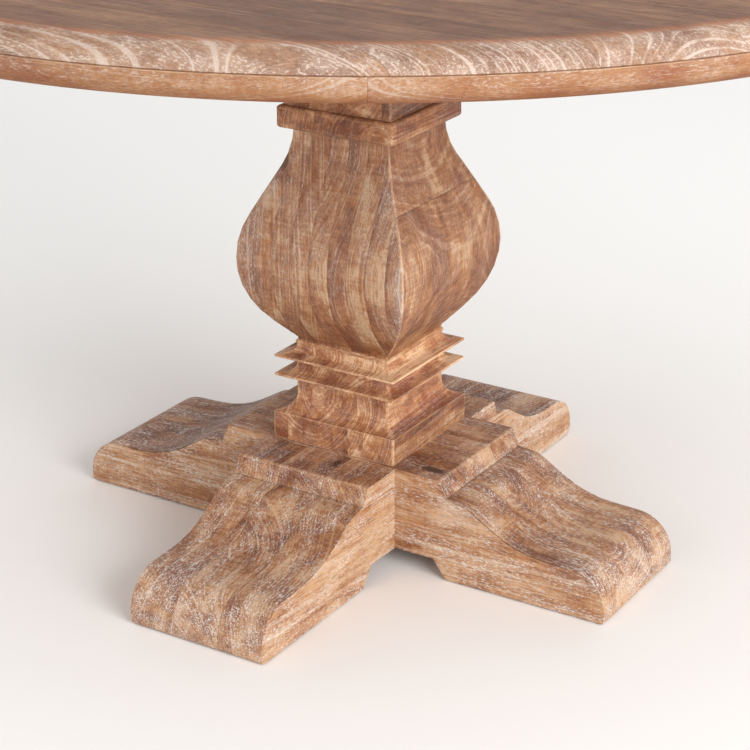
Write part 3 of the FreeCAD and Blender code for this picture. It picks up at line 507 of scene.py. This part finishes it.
def zinc_plated_steel():
    """Bright zinc plate over steel: cool grey metal, softly mottled where the plate crystallised."""
    r = Recipe("zinc plated steel")
    place = r.add("TexCoord", give="Object")
    bloom = r.add("TexNoise", {"Vector": place, "Scale": 260.0, "Detail": 3.0})
    body = r.add("ValToRGB", {0: bloom}, stops=[(0.35, linear("#a9abad")), (0.65, linear("#cdcfd0"))])
    rough = r.add("MapRange", {0: bloom, 1: 0.3, 2: 0.7, 3: 0.28, 4: 0.46})
    shader = r.add("BsdfPrincipled", {"Base Color": body, "Metallic": 1.0, "Roughness": rough})
    r.add("OutputMaterial", {"Surface": shader})
    return r.material


def moulded_nylon():
    """Moulded dark brown nylon: faint matt grain with dust on it."""
    r = Recipe("moulded nylon")
    place = r.add("TexCoord", give="Object")
    grain = r.add("TexNoise", {"Vector": place, "Scale": 900.0, "Detail": 2.0})
    body = r.add("ValToRGB", {0: grain}, stops=[(0.3, linear("#2c2420")), (0.7, linear("#3d332d"))])
    shader = r.add("BsdfPrincipled", {"Base Color": body, "Roughness": 0.55, "IOR": 1.53})
    r.add("OutputMaterial", {"Surface": shader})
    return r.material


TOP_WOOD = limewashed_mango(
    "limewashed mango, top", dark="#472511", mid="#6e4226", light="#9f6f4a",
    bleached="#c4946a", arris="#b0602c", wash="#e0cbbc", rubbed="#7a4220",
    glaze="#3a1e10", ring=6.5, ring_depth=0.16, figure=20.0, wash_grip=0.42, flecked=0.42,
    streaks=0.40, clouds=1.1, roughness=0.5)
RIM_WOOD = limewashed_mango(
    "limewashed mango, rim", dark="#6f3914", mid="#915323", light="#a46f40",
    bleached="#b98f6c", arris="#c29f80", wash="#cdb6a4", rubbed="#8a4319",
    glaze="#5a331c", ring=9.0, ring_depth=0.10, figure=14.0, wash_grip=0.6, flecked=0.7,
    streaks=0.4, clouds=2.0, roughness=0.58)
COLUMN_WOOD = limewashed_mango(
    "limewashed mango, column", dark="#5a2c12", mid="#8f5028", light="#b97d4e",
    bleached="#dfb78e", arris="#dfb78e", wash="#e2d1c5", rubbed="#8a421b",
    glaze="#361d0d", ring=5.0, ring_depth=0.30, figure=9.0, wash_grip=0.30, flecked=0.55,
    streaks=0.50, clouds=2.6, roughness=0.55)
BASE_WOOD = limewashed_mango(
    "limewashed mango, base", dark="#57290f", mid="#935428", light="#bc7f4c",
    bleached="#dfb083", arris="#e2bd98", wash="#f8efe6", rubbed="#8a421b",
    glaze="#361d0d", ring=4.6, ring_depth=0.20, figure=12.0, wash_grip=0.45, flecked=1.3,
    streaks=0.5, clouds=2.8, roughness=0.55)
FRAME_WOOD = planed_frame_wood()
DOWEL_WOOD = turned_beech()
ZINC = zinc_plated_steel()
NYLON = moulded_nylon()


# ---- the top -------------------------------------------------------------------------------

BOARD_COUNT = 12
EDGE_DROP = 21.0        # rounded part of the board edge
EDGE_LEAN = 7.7
EDGE_ROUND = 30.0
EDGE_FROM = 640.0       # the edge profile starts this far out, on the flat
JOINT_STEP = 2.0        # from a joint to the next row of points
END_ROWS = 26
BOARD_ROWS = 8
# what a rag leaves on the face, by distance from the middle of the table
RUBBED_AT, RUBBED = [649, 655, 659, 665], [0, 0.5, 1, 0]
WASHED_AT, WASHED = [645, 656, 664, 684], [0.3, 0.4, 2.4, 2.6]
PALE_AT, PALE = [650, 664], [0.36, 0.56]


def make_top_boards():
    """Planks along X, cut to the round.

    Each is two facing grids, x = +-sqrt(R^2 - y^2), z: rows are places y across the plank and
    columns the points (R, z) of the edge profile; where R < |y| the column shrinks to the ridge
    x = 0 at the profile's height over |y|, and below the ridge to its keel.
    """
    radius = max(node_box(f"top_board_{n:02d}")[1][0] for n in range(1, BOARD_COUNT + 1))
    low, high = node_box("top_board_06")
    floor, face = low[2], high[2]
    profile, bend, _ = trace([
        (EDGE_FROM, floor), (radius, floor, 0.15), (radius, face - EDGE_DROP, 0.6),
        (radius - EDGE_LEAN, face, EDGE_ROUND), (EDGE_FROM, face),
    ])
    inner = np.array([200.0, 400.0, 560.0])
    shoulder = np.array([653.0, 650.0, 646.0, EDGE_FROM])
    radii = np.concatenate([inner, profile[:-1, 0], shoulder, inner[::-1]])
    heights = np.concatenate([np.full(3, floor), profile[:-1, 1], np.full(7, face)])
    bend = np.concatenate([np.zeros(3), bend[:-1], np.zeros(7)])
    upper = heights > face - EDGE_DROP - 0.5
    order = np.lexsort((heights[upper], radii[upper]))
    lower_order = np.lexsort((-heights[~upper], radii[~upper]))
    on_face = heights > face - EDGE_DROP
    joint_rows = np.array([JOINT_EASE, JOINT_STEP])
    for number in range(1, BOARD_COUNT + 1):
        name = f"top_board_{number:02d}"
        low, high = node_box(name)
        glued, edge = sorted((low[1], high[1]), key=abs)
        outermost = abs(edge) > radius - 1
        if outermost:
            swing = np.linspace(math.asin(abs(glued) / radius), math.pi / 2, END_ROWS)
            across = np.sign(edge) * radius * np.sin(swing)
            across = np.concatenate([across, across[0] + np.sign(edge) * joint_rows])
        else:
            across = np.concatenate([np.linspace(low[1], high[1], BOARD_ROWS),
                                     low[1] + joint_rows, high[1] - joint_rows])
        y, big = np.meshgrid(np.sort(across), radii, indexing="ij")
        z = np.broadcast_to(heights, y.shape).copy()
        ridge = np.interp(np.abs(y), radii[upper][order], heights[upper][order])
        keel = np.interp(np.abs(y), radii[~upper][lower_order], heights[~upper][lower_order])
        z = np.where(big < np.abs(y), np.where(upper, np.minimum(z, ridge), np.maximum(z, keel)), z)
        glue_gap = np.abs(y - glued)
        if not outermost:
            glue_gap = np.minimum(glue_gap, np.abs(y - edge))
        z = z - np.where(z > face - EDGE_DROP, JOINT_EASE * np.clip(1 - glue_gap / JOINT_EASE, 0, 1), 0)
        x = np.sqrt(np.maximum(big ** 2 - y ** 2, 0))
        reach = np.hypot(x, y)
        finish = np.zeros((*y.shape, 4))
        finish[..., 0] = 0.75 * np.interp(reach, RUBBED_AT, RUBBED) * on_face
        finish[..., 1] = np.where(glue_gap < 0.2, 0.5, 0) + 0.8 * (bend < 0)
        finish[..., 2] = np.where(on_face, np.interp(reach, WASHED_AT, WASHED), 0.5)
        finish[..., 3] = np.where(on_face, np.interp(reach, PALE_AT, PALE), 0.4)
        shell = Shell()
        right = np.stack([x, y, z], -1)
        shell.boxed(right, right * (-1, 1, 1), finish, finish)
        make_piece(name, shell, TOP_WOOD, (1, 0, 0), (0, 0, 1), 100 + number,
                   quarter=math.pi * (number % 2))


RIM_COUNT = 8
RIM_WIDTH = 80.0
RIM_TURN = 31.8         # degrees from the X axis to the first joint
RIM_ROUND = 22.0
RIM_LIP = 2.5           # from the face of the rim to the first point under the boards
RIM_EASE = 0.3          # how far the face is drawn in at a joint
RIM_STATIONS = 31
RIM_JOINT_STEPS = [0.03, 0.15]      # degrees


def make_rim_segments():
    """Curved segments under the edge: the section carried round an arc of 45 degrees.

    p(t, k) = (R_k cos t, R_k sin t, z_k); the grain runs straight along each segment's chord.
    """
    low, high = node_box("rim_segment_1")
    outer = float(cad_high[0]) / MM
    inner = outer - RIM_WIDTH
    bottom, top = low[2], high[2]
    profile, bend, _ = trace([
        (inner, bottom), (outer, bottom, RIM_ROUND), (outer, top, 0.25), (outer - RIM_LIP, top),
    ])
    profile, bend = refine(profile, bend, 12.0)
    lid = np.stack([np.linspace(inner, outer - RIM_LIP, len(profile)), np.full(len(profile), top)], -1)
    shown = profile[:, 0] > inner + 5
    sweep = 360 / RIM_COUNT
    ends = np.array(RIM_JOINT_STEPS)
    turns = np.sort(np.concatenate([np.linspace(0, sweep, RIM_STATIONS), ends, sweep - ends]))
    shrink = np.zeros(len(turns))
    shrink[[0, -1]] = RIM_EASE
    above = profile[:, 1] - bottom
    finish = np.zeros((len(turns), len(profile), 4))
    finish[..., 0] = 0.7 * (bend > 0) * shown
    finish[..., 1] = np.where(shrink > 0, 0.6, 0)[:, None]
    finish[..., 2] = np.interp(above, [0, 4, 14, 27], [0.1, 0.3, 1.2, 1.5])
    finish[..., 3] = np.interp(above, [0, 5, 12, 20], [0.15, 0.22, 0.50, 0.62])
    for number in range(RIM_COUNT):
        start = RIM_TURN + sweep * number
        angle = np.radians(start + turns)[:, None]
        grids = []
        for section, drawn_in in ((profile, np.outer(shrink, (bend >= 0) & shown)), (lid, 0)):
            radii = np.broadcast_to(section[:, 0] - drawn_in, (len(turns), len(section)))
            height = np.broadcast_to(section[:, 1], radii.shape)
            grids.append(np.stack([radii * np.cos(angle), radii * np.sin(angle), height], -1))
        middle = math.radians(start + sweep / 2)
        shell = Shell()
        shell.boxed(grids[0], grids[1], finish, np.array([0, 0.3, 0.2, 0.3]))
        make_piece(f"rim_segment_{number + 1}", shell, RIM_WOOD,
                   (-math.sin(middle), math.cos(middle), 0), (0, 0, 1), 200 + number)


# ---- the column ----------------------------------------------------------------------------

ROD_HOLE = 13.0         # diameter
CORNER_POINTS = 6
CORNER_GUARD = 1.6      # beyond a rounded corner to the next point
PLINTH_UPRIGHT = 33.7
PLINTH_COVE = 20.0
PLINTH_NECK_HALF = 63.3
FLANGE_HALF = 82.5
FLANGE_LIP = 2.5
FLANGE_FALL = 2.0
FLANGE_COVE = 9.5
FLANGE_NECK_HALF = 63.0
FILLET_HALF = 64.0
FILLET_BEVEL = 1.5
COLLAR_ROUND = 4.0
NECK_HALF = 71.0
CAPITAL_LIP = 6.0
CAPITAL_COVE = 12.0


def plan_square(half, corner, guard):
    """Loops of a square with rounded corners: centre (half - c) (+-1, +-1) + c (cos t, sin t)."""
    loops = []
    marks = []
    for quarter in range(4):
        start = quarter * math.pi / 2
        signs = np.sign([math.cos(start + math.pi / 4), math.sin(start + math.pi / 4)])
        for index, t in enumerate(np.linspace(start, start + math.pi / 2, CORNER_POINTS)):
            spoke = np.array([math.cos(t), math.sin(t)])
            point = (half - corner)[:, None] * signs + corner[:, None] * spoke
            tangent = np.array([-math.sin(t), math.cos(t)])
            if index == 0:
                loops.append(point - guard[:, None] * tangent)
                marks.append(0.0)
            loops.append(point)
            marks.append(1.0)
            if index == CORNER_POINTS - 1:
                loops.append(point + guard[:, None] * tangent)
                marks.append(0.0)
    return np.stack(loops, 1), np.array(marks)


def make_block(node, corners, worn, strip, shade, wash, seed, glaze=0.0, wear=0.45):
    """A square block whose sides follow one profile, with a hole for the rod.

    p(k, t): the loop of plan_square at half width u_k and height z_k, closed over the top, down
    the hole r (cos t, sin t) and back to the start. Heights in corners are above the block's foot.
    """
    low, high = node_box(node)
    profile, bend, _ = trace([(u, low[2] + v, *rest) for u, v, *rest in corners])
    profile, bend = refine(profile, bend, 14.0)
    half, height = profile[:, 0], profile[:, 1]
    corner = worn * (1 + 0.3 * wobble(height, seed, 60.0))
    loops, marks = plan_square(half, corner, np.full(len(half), CORNER_GUARD))
    spin = np.arctan2(loops[0, :, 1], loops[0, :, 0])
    hole = np.stack([np.cos(spin), np.sin(spin)], -1) * ROD_HOLE / 2
    loops = np.concatenate([hole[None], loops, hole[None]])
    height = np.concatenate([height[:1], height, height[-1:]])
    bend = np.concatenate([[0], bend, [0]])
    points = np.concatenate([loops, np.broadcast_to(height[:, None, None], (*loops.shape[:2], 1))], -1)
    finish = np.zeros((*loops.shape[:2], 4))
    finish[..., 0] = wear * np.maximum(np.clip(bend, 0, 1)[:, None], marks)
    finish[..., 1] = np.clip(-bend, 0, 1)[:, None] + glaze
    finish[..., 2] = wash
    finish[..., 3] = np.interp(height - low[2], *shade)[:, None]
    shell = Shell()
    shell.ringed(points, finish)
    make_piece(node, shell, COLUMN_WOOD, (0, 1, 0), (1, 0, 0), seed, strip=strip)


def make_blocks():
    """Plinth, flanges, fillet, collar and capital, from the floor up.

    Each shade is a pair of lists, heights in the block and how pale it is there.
    """
    low, high = node_box("plinth_block")
    half, tall = high[0], high[2] - low[2]
    make_block("plinth_block", [
        (half - 4, 0), (half, 0, 0.6), (half, PLINTH_UPRIGHT, 0.5),
        (PLINTH_NECK_HALF, PLINTH_UPRIGHT, PLINTH_COVE), (PLINTH_NECK_HALF, tall, 0.3), (58, tall),
    ], worn=2.2, strip=21.0, shade=([0, 33, 36, 60, 78], [0.26, 0.30, 0.24, 0.36, 0.44]), wash=0.5,
        seed=301)
    for node, pale, seed in (("lower_flange", 0.62, 302), ("upper_flange", 0.52, 303)):
        low, high = node_box(node)
        tall = high[2] - low[2]
        fallen = FLANGE_LIP + FLANGE_FALL
        make_block(node, [
            (FLANGE_HALF - 4.5, 0), (FLANGE_HALF, 0, 0.5), (FLANGE_HALF, FLANGE_LIP, 0.9),
            (FLANGE_NECK_HALF, fallen, FLANGE_COVE), (FLANGE_NECK_HALF, tall, 0.3), (58, tall),
        ], worn=1.4, strip=42.0, shade=([0], [pale]), wash=0.5, seed=seed)
    low, high = node_box("fillet_plate")
    tall = high[2] - low[2]
    make_block("fillet_plate", [
        (59, 0), (FILLET_HALF, 0, 0.3), (FILLET_HALF, tall - FILLET_BEVEL, 0.8),
        (FILLET_HALF - FILLET_BEVEL, tall, 0.8), (58, tall),
    ], worn=1.4, strip=200.0, shade=([0], [0.42]), wash=0.4, seed=304, glaze=0.2)
    low, high = node_box("collar")
    half, tall = high[0], high[2] - low[2]
    make_block("collar", [
        (half - 8, 0), (half, 0, COLLAR_ROUND), (half, tall, COLLAR_ROUND), (half - 8, tall),
    ], worn=2.0, strip=52.0, shade=([0], [0.10]), wash=0.4, seed=305, glaze=0.2, wear=0.12)
    low, high = node_box("capital_block")
    half, tall = high[0], high[2] - low[2]
    lip = tall - CAPITAL_LIP
    make_block("capital_block", [
        (NECK_HALF - 5, 0), (NECK_HALF, 0, 0.5), (NECK_HALF, lip, CAPITAL_COVE), (half, lip, 0.8),
        (half, tall, 0.8), (half - 5, tall),
    ], worn=1.6, strip=48.0, shade=([0], [0.28]), wash=0.4, seed=306, glaze=0.3, wear=0.25)


VASE_BOARDS = 9
VASE_PROFILE = [(62.0, 0.0), (62.0, 2.5, 5.0), (136.4, 87.0, 123.0), (63.5, 235.9, 100.0), (63.5, 259.3)]
VASE_PITH_FAR = (220, 320)
VASE_WORN = 2.0         # mm, usual radius of its upright edges
GLUE_DIP = 0.2          # mm that the faces dip at a glue line
KNIFE_EDGE = 0.25       # mm from a board's tip, where it thins to nothing, to the next row
EDGE_WASH = 34.0        # mm beside an upright edge where the wash lies thick


def make_vase_boards():
    """Boards stacked across X and shaped together into the square baluster.

    Rows are heights z with half width a(z). Columns run across the board, x from its inner face
    to min(its outer face, a), and at the upright edge y = (a - c) + sqrt(c^2 - (x - a + c)^2);
    the facing grid is the mirror image in y.
    """
    low, high = node_box("vase_board_5")
    profile, _, _ = trace(VASE_PROFILE)
    profile, _ = refine(profile, np.zeros(len(profile)), 7.0)
    all_half, all_height = profile[:, 0], profile[:, 1] + low[2]
    thick = high[0] - low[0]
    for number in range(1, VASE_BOARDS + 1):
        name = f"vase_board_{number}"
        step = number - (VASE_BOARDS + 1) / 2
        side = -1.0 if step < 0 else 1.0
        inner = abs(step) * thick - thick / 2
        outer = inner + thick
        half, height = all_half, all_height
        if step and half.min() < inner:
            kept = np.nonzero(half > inner + 1e-6)[0]
            first, last = kept[0], kept[-1]
            thin = inner + np.array([0.0, KNIFE_EDGE])
            foot = np.interp(thin, half[first - 1:first + 1], height[first - 1:first + 1])
            head = np.interp(thin, half[last + 1:last - 1:-1], height[last + 1:last - 1:-1])
            kept = kept[half[kept] > thin[-1]]
            half = np.concatenate([thin, half[kept], thin[::-1]])
            height = np.concatenate([foot, height[kept], head[::-1]])
        half = half[:, None]
        corner = VASE_WORN * (1 + 0.35 * wobble(height, 400 + number // 6, 90.0))[:, None]
        bank = half - corner
        end = np.minimum(outer, half)
        flat = np.clip(bank, inner, end)
        share = np.array([0.0, 0.0, 0.25, 0.5, 0.75, 1.0, 1.0])
        nudge = np.array([0.0, JOINT_EASE, 0, 0, 0, -JOINT_EASE, 0.0])
        x_flat = np.clip(inner + (flat - inner) * share + nudge, inner, np.maximum(flat, inner))
        x_flat = np.maximum.accumulate(x_flat, axis=1)
        opening = np.arcsin(np.clip((flat - bank) / corner, 0, 1))
        closing = np.arcsin(np.clip((end - bank) / corner, 0, 1))
        t = opening + (closing - opening) * np.linspace(0.17, 1, 6)
        x_arc = np.clip(bank + corner * np.sin(t), flat, end)
        x = np.concatenate([x_flat, x_arc, x_arc[:, -1:]], 1)
        over = np.clip((x - bank) / corner, 0, 1)
        y = bank + corner * np.sqrt(1 - over ** 2)
        glue_gap = np.minimum(np.abs(x - inner), np.abs(x - outer))
        y = y - GLUE_DIP * np.clip(1 - glue_gap / JOINT_EASE, 0, 1)
        y[:, -1] = np.maximum(y[:, -1] - CORNER_GUARD, 0.0)
        z = np.broadcast_to(height[:, None], x.shape)
        finish = np.zeros((*x.shape, 4))
        worn = over ** 2 * np.clip(0.5 + 0.6 * wobble(height, 411, 120.0), 0, 1)[:, None]
        worn[:, -1] = 0
        finish[..., 0] = worn
        finish[..., 1] = 0.35 * np.clip(1 - glue_gap / JOINT_EASE, 0, 1)
        up = (height - low[2])[:, None]
        finish[..., 2] = np.interp(up, [0, 60, 130, 259], [0.25, 0.5, 1.0, 0.75])
        beside = np.clip(1 - (half - x) / EDGE_WASH, 0, 1) * np.interp(up, [30, 70, 190, 235], [0, 1, 1, 0])
        finish[:, :-1, 2] += 1.2 * beside[:, :-1]
        finish[:, -1, 2] *= 0.6
        finish[..., 3] = np.interp(up, [0, 40, 90, 150, 259], [0.30, 0.34, 0.50, 0.54, 0.42])
        front = np.stack([x * side, y, z], -1)
        shell = Shell()
        shell.boxed(front, front * (1, -1, 1), finish, finish)
        make_piece(name, shell, COLUMN_WOOD, (0, 0, 1), (1, 0, 0), 420 + number,
                   quarter=math.pi / 2 * side, pith_far=VASE_PITH_FAR)


# ---- the base ------------------------------------------------------------------------------

LAP_HALF = 89.0
BEAM_TOP = [(0.0, 126.4), (148.0, 126.4, 3.0), (158.0, 105.2, 1.0), (184.0, 102.3, 28.0),
            (249.0, 63.3, 136.0)]
BEAM_UNDER = [(0.0, 24.4), (141.0, 24.4, 2.0), (158.0, 1.5, 2.5)]
BEAM_WORN = 1.5
GLUED_EDGE = 0.08
BEAM_GUARD = 0.6
TOE_HEIGHT = 58.5
TOE_ROUND = 45.0
TOE_EDGE = 4.0
LAP_HEIGHT = 75.4
FLANK_WASH = 0.62
FLANK_SHADE = 0.80      # the flanks are a paler, more even tan than the tops
MIDDLE_QUARTER = 0.3    # the pith of a middle board lies above it, so its top shows arched rings
MIDDLE_PITH_FAR = (40, 60)
OUTER_PITH_FAR = (120, 200)
# looks of the tops, by distance from the middle of the cross
SHADE_AT = [0, 148, 156, 170, 186, 225, 262, 320, 363]
SHADE = [0.44, 0.46, 0.5, 0.6, 0.58, 0.38, 0.44, 0.64]
# painted shade: beam b's toes, which face the key light, are darker than beam a's
TOE_TONE_WITH_PAINTED_SHADE = {"a": 0.66, "b": 0.52}
DIRT_AT, DIRT = [150, 170, 290, 330], [0.1, 0.8, 0.8, 0.15]     # pigment beside the rubbed edges
FAR_LEG_PAINTED_SHADE_AT, FAR_LEG_PAINTED_SHADE = [158, 190, 300, 350], [0, 1, 1, 0.3]            # painted shade: the tops of the far legs, towards -X and +Y, are darker as if shaded by the table top
BEAM_WASH_AT, BEAM_WASH = [0, 148, 160, 220, 363], [0.55, 0.55, 0.85, 0.6, 0.95]


def beam_curves(toe, sole, upper):
    """Places along half a beam, and its top and under curve there: height, bend and normal."""
    top = trace(BEAM_TOP + [(toe, TOE_HEIGHT, TOE_ROUND), (toe, sole + TOE_EDGE)], -1)
    under = trace(BEAM_UNDER + [(toe, sole, TOE_EDGE), (toe, TOE_HEIGHT - TOE_ROUND)])
    places = [curve[0][:-2, 0] for curve in (top, under)]
    along = np.unique(np.round(np.concatenate([*places, [toe], np.arange(0, toe, 9.0)]), 3))
    lap = np.array([LAP_HALF - DRAWN_TO, LAP_HALF + DRAWN_TO])
    along = np.sort(np.concatenate([along[np.abs(along - LAP_HALF) > 3], lap]))
    curves = []
    for (points, bend, normal), notched in ((top, not upper), (under, upper)):
        known = points[:-2, 0]
        height = np.interp(along, known, points[:-2, 1])
        if notched:
            height = np.where(along < LAP_HALF, LAP_HEIGHT, height)
        lean = np.stack([np.interp(along, known, normal[:-2, axis]) for axis in (0, 1)], -1)
        lean = lean / np.linalg.norm(lean, axis=1, keepdims=True)
        curves.append(tuple(np.concatenate([values[:0:-1] * flip, values]) for values, flip in (
            (height, 1), (np.interp(along, known, bend[:-2]), 1), (lean, (-1, 1)))))
    return np.concatenate([-along[:0:-1], along]), *curves


def beam_surface(along, curve, edges, seed, shade, wash):
    """One of the two facing surfaces of a beam board, with both its long edges rounded.

    Each edge of radius c is a quarter arc, c (1 - sin t) inside the curve and c (1 - cos t)
    inside the face, with t from 0 on the face to a right angle on the surface; moving inside the
    curve follows its normal.
    """
    height, bend, normal = curve
    columns = []
    finish = []
    t = np.linspace(0, math.pi / 2, 6)
    for index, (face, inward, radius, wear, glaze) in enumerate(edges):
        radius = radius * (1 + 0.25 * wobble(along, seed + index, 110.0))
        flat = np.zeros_like(along)
        # each column: how deep inside the curve, how far inside the face, how near the surface
        side = [(radius + BEAM_GUARD, flat, 0.0)]
        side.extend((radius * (1 - math.sin(a)), radius * (1 - math.cos(a)), max(math.sin(a), 0.01))
                    for a in t)
        side.append((flat, radius + BEAM_GUARD, 0.0))
        if index:
            side.reverse()
        for deep, inside, mark in side:
            columns.append(np.stack([along - normal[:, 0] * deep, face + inward * inside,
                                     height - normal[:, 1] * deep], -1))
            rubbed = mark * wear * (0.75 + 0.25 * wobble(along, seed + 9, 80.0))
            on_top = 1.0 if mark or deep is flat else 0.0
            finish.append(np.stack([
                np.maximum(rubbed, 0.3 * np.clip(bend, 0, 1) * on_top),
                (mark > 0) * (1 - mark) * glaze + 0.35 * np.clip(-bend, 0, 1) * on_top,
                wash if on_top else flat + FLANK_WASH,
                shade if on_top else flat + FLANK_SHADE,
            ], -1))
    return np.stack(columns, 1), np.stack(finish, 1)


def make_beam_boards():
    """The cross: each beam is three boards, two facing surfaces over the same places."""
    for beam, upper in (("a", False), ("b", True)):
        for number in (1, 2, 3):
            name = f"base_beam_{beam}_board_{number}"
            low, high = node_box(name)
            toe = high[0] if upper else high[1]
            first, last = (low[1], high[1]) if upper else (low[0], high[0])
            if not upper:
                first, last = -last, -first
            along, top, under = beam_curves(toe, low[2], upper)
            reach = np.abs(along)
            # the toe values include painted shade on beam b, whose toes face the key light
            shade = np.interp(reach, SHADE_AT, SHADE + [TOE_TONE_WITH_PAINTED_SHADE[beam]])
            dirt = np.interp(reach, DIRT_AT, DIRT)
            # painted shade of the table top, darkening the tops of the legs towards -X and +Y
            far_leg_in_painted_shade = along < 0 if upper else along > 0
            shade = shade - 0.34 * far_leg_in_painted_shade * np.interp(reach, FAR_LEG_PAINTED_SHADE_AT, FAR_LEG_PAINTED_SHADE)
            shade = shade + 0.10 * wobble(along, 500 + number, 150.0)
            wash = np.interp(reach, BEAM_WASH_AT, BEAM_WASH)
            # face, way inwards, radius, wear and pigment; a glued edge is only touched by sandpaper
            shown = (number == (1 if upper else 3), number == (3 if upper else 1))
            edges = [(face, inward, *((BEAM_WORN, 0.5, dirt) if seen else (GLUED_EDGE, 0, 0)))
                     for face, inward, seen in zip((first, last), (1, -1), shown)]
            seed = (520 if upper else 540) + number * 12
            upper_grid, upper_finish = beam_surface(along, top, edges, seed, shade, wash)
            edges = [(face, inward, radius * 0.6, wear * 0.6, 0) for face, inward, radius, wear, _ in edges]
            under_grid, under_finish = beam_surface(along, under, edges, seed + 5, np.full_like(shade, 0.5),
                                                    np.full_like(wash, 0.8))
            shell = Shell()
            if not upper:
                upper_grid = upper_grid[..., [1, 0, 2]] * (-1, 1, 1)
                under_grid = under_grid[..., [1, 0, 2]] * (-1, 1, 1)
            shell.boxed(upper_grid, under_grid, upper_finish, under_finish)
            grain = (1, 0, 0) if upper else (0, 1, 0)
            across = (0, 1, 0) if upper else (1, 0, 0)
            make_piece(name, shell, BASE_WOOD, grain, across, seed,
                       quarter=MIDDLE_QUARTER if number == 2 else math.pi / 2,
                       pith_far=MIDDLE_PITH_FAR if number == 2 else OUTER_PITH_FAR)


# ---- finishes on the CAD's own pieces ------------------------------------------------------

def paint_cad_nodes():
    """Materials for the CAD's nodes, of which only those that are not replaced are shown."""
    finishes = {"top_wood": TOP_WOOD, "rim_wood": RIM_WOOD, "column_wood": COLUMN_WOOD,
                "base_wood": BASE_WOOD, "frame_wood": FRAME_WOOD, "dowel_wood": DOWEL_WOOD,
                "zinc_steel": ZINC, "nylon": NYLON}
    for subpart in frame["record"]["subparts"]:
        thing = frame["nodes"][subpart["node"]]
        thing.data.materials.clear()
        thing.data.materials.append(finishes[subpart["material_slot"]])


# ---- studio --------------------------------------------------------------------------------

CAMERA_PLACE = (1.26797, -2.03092, 1.19041)
CAMERA_PITCH = 22.6
CAMERA_TURN = 31.84
LENS = 103.85


def make_studio():
    """Pale floor, even white surroundings, a large key light on the right and a weak fill in front."""
    material = Recipe("studio floor")
    shader = material.add("BsdfPrincipled", {"Base Color": linear("#f7f6f4"), "Roughness": 0.9})
    material.add("OutputMaterial", {"Surface": shader})
    mesh = bpy.data.meshes.new("studio_floor")
    reach = 30.0
    mesh.from_pydata([(-reach, -reach, 0), (reach, -reach, 0), (reach, reach, 0), (-reach, reach, 0)], [],
                     [(0, 1, 2, 3)])
    mesh.materials.append(material.material)
    floor = bpy.data.objects.new("studio_floor", mesh)
    bpy.context.collection.objects.link(floor)

    world = bpy.data.worlds.new("studio")
    world.use_nodes = True
    background = world.node_tree.nodes["Background"]
    background.inputs["Color"].default_value = linear("#ffffff")
    background.inputs["Strength"].default_value = 0.85
    bpy.context.scene.world = world

    for label, place, size, power in (
            ("key", (4.3, -1.9, 1.9), 2.8, 225.0),
            ("fill", (-1.2, -4.4, 1.5), 2.8, 25.0)):
        light = bpy.data.lights.new(label, "AREA")
        light.shape = "SQUARE"
        light.size = size
        light.energy = power
        lamp = bpy.data.objects.new(label, light)
        bpy.context.collection.objects.link(lamp)
        aim = np.array([0.0, 0.0, 0.35]) - np.array(place)
        lamp.location = place
        lamp.rotation_euler = (math.pi - math.acos(aim[2] / np.linalg.norm(aim)), 0,
                               math.atan2(-aim[0], aim[1]))

    camera = bpy.data.cameras.new("camera")
    camera.lens = LENS
    camera.sensor_width = 36.0
    eye = bpy.data.objects.new("camera", camera)
    bpy.context.collection.objects.link(eye)
    eye.location = CAMERA_PLACE
    eye.rotation_euler = (math.radians(90 - CAMERA_PITCH), 0, math.radians(CAMERA_TURN))
    bpy.context.scene.camera = eye
    bpy.context.scene.view_settings.view_transform = "Standard"


make_top_boards()
make_rim_segments()
make_blocks()
make_vase_boards()
make_beam_boards()
paint_cad_nodes()
make_studio()
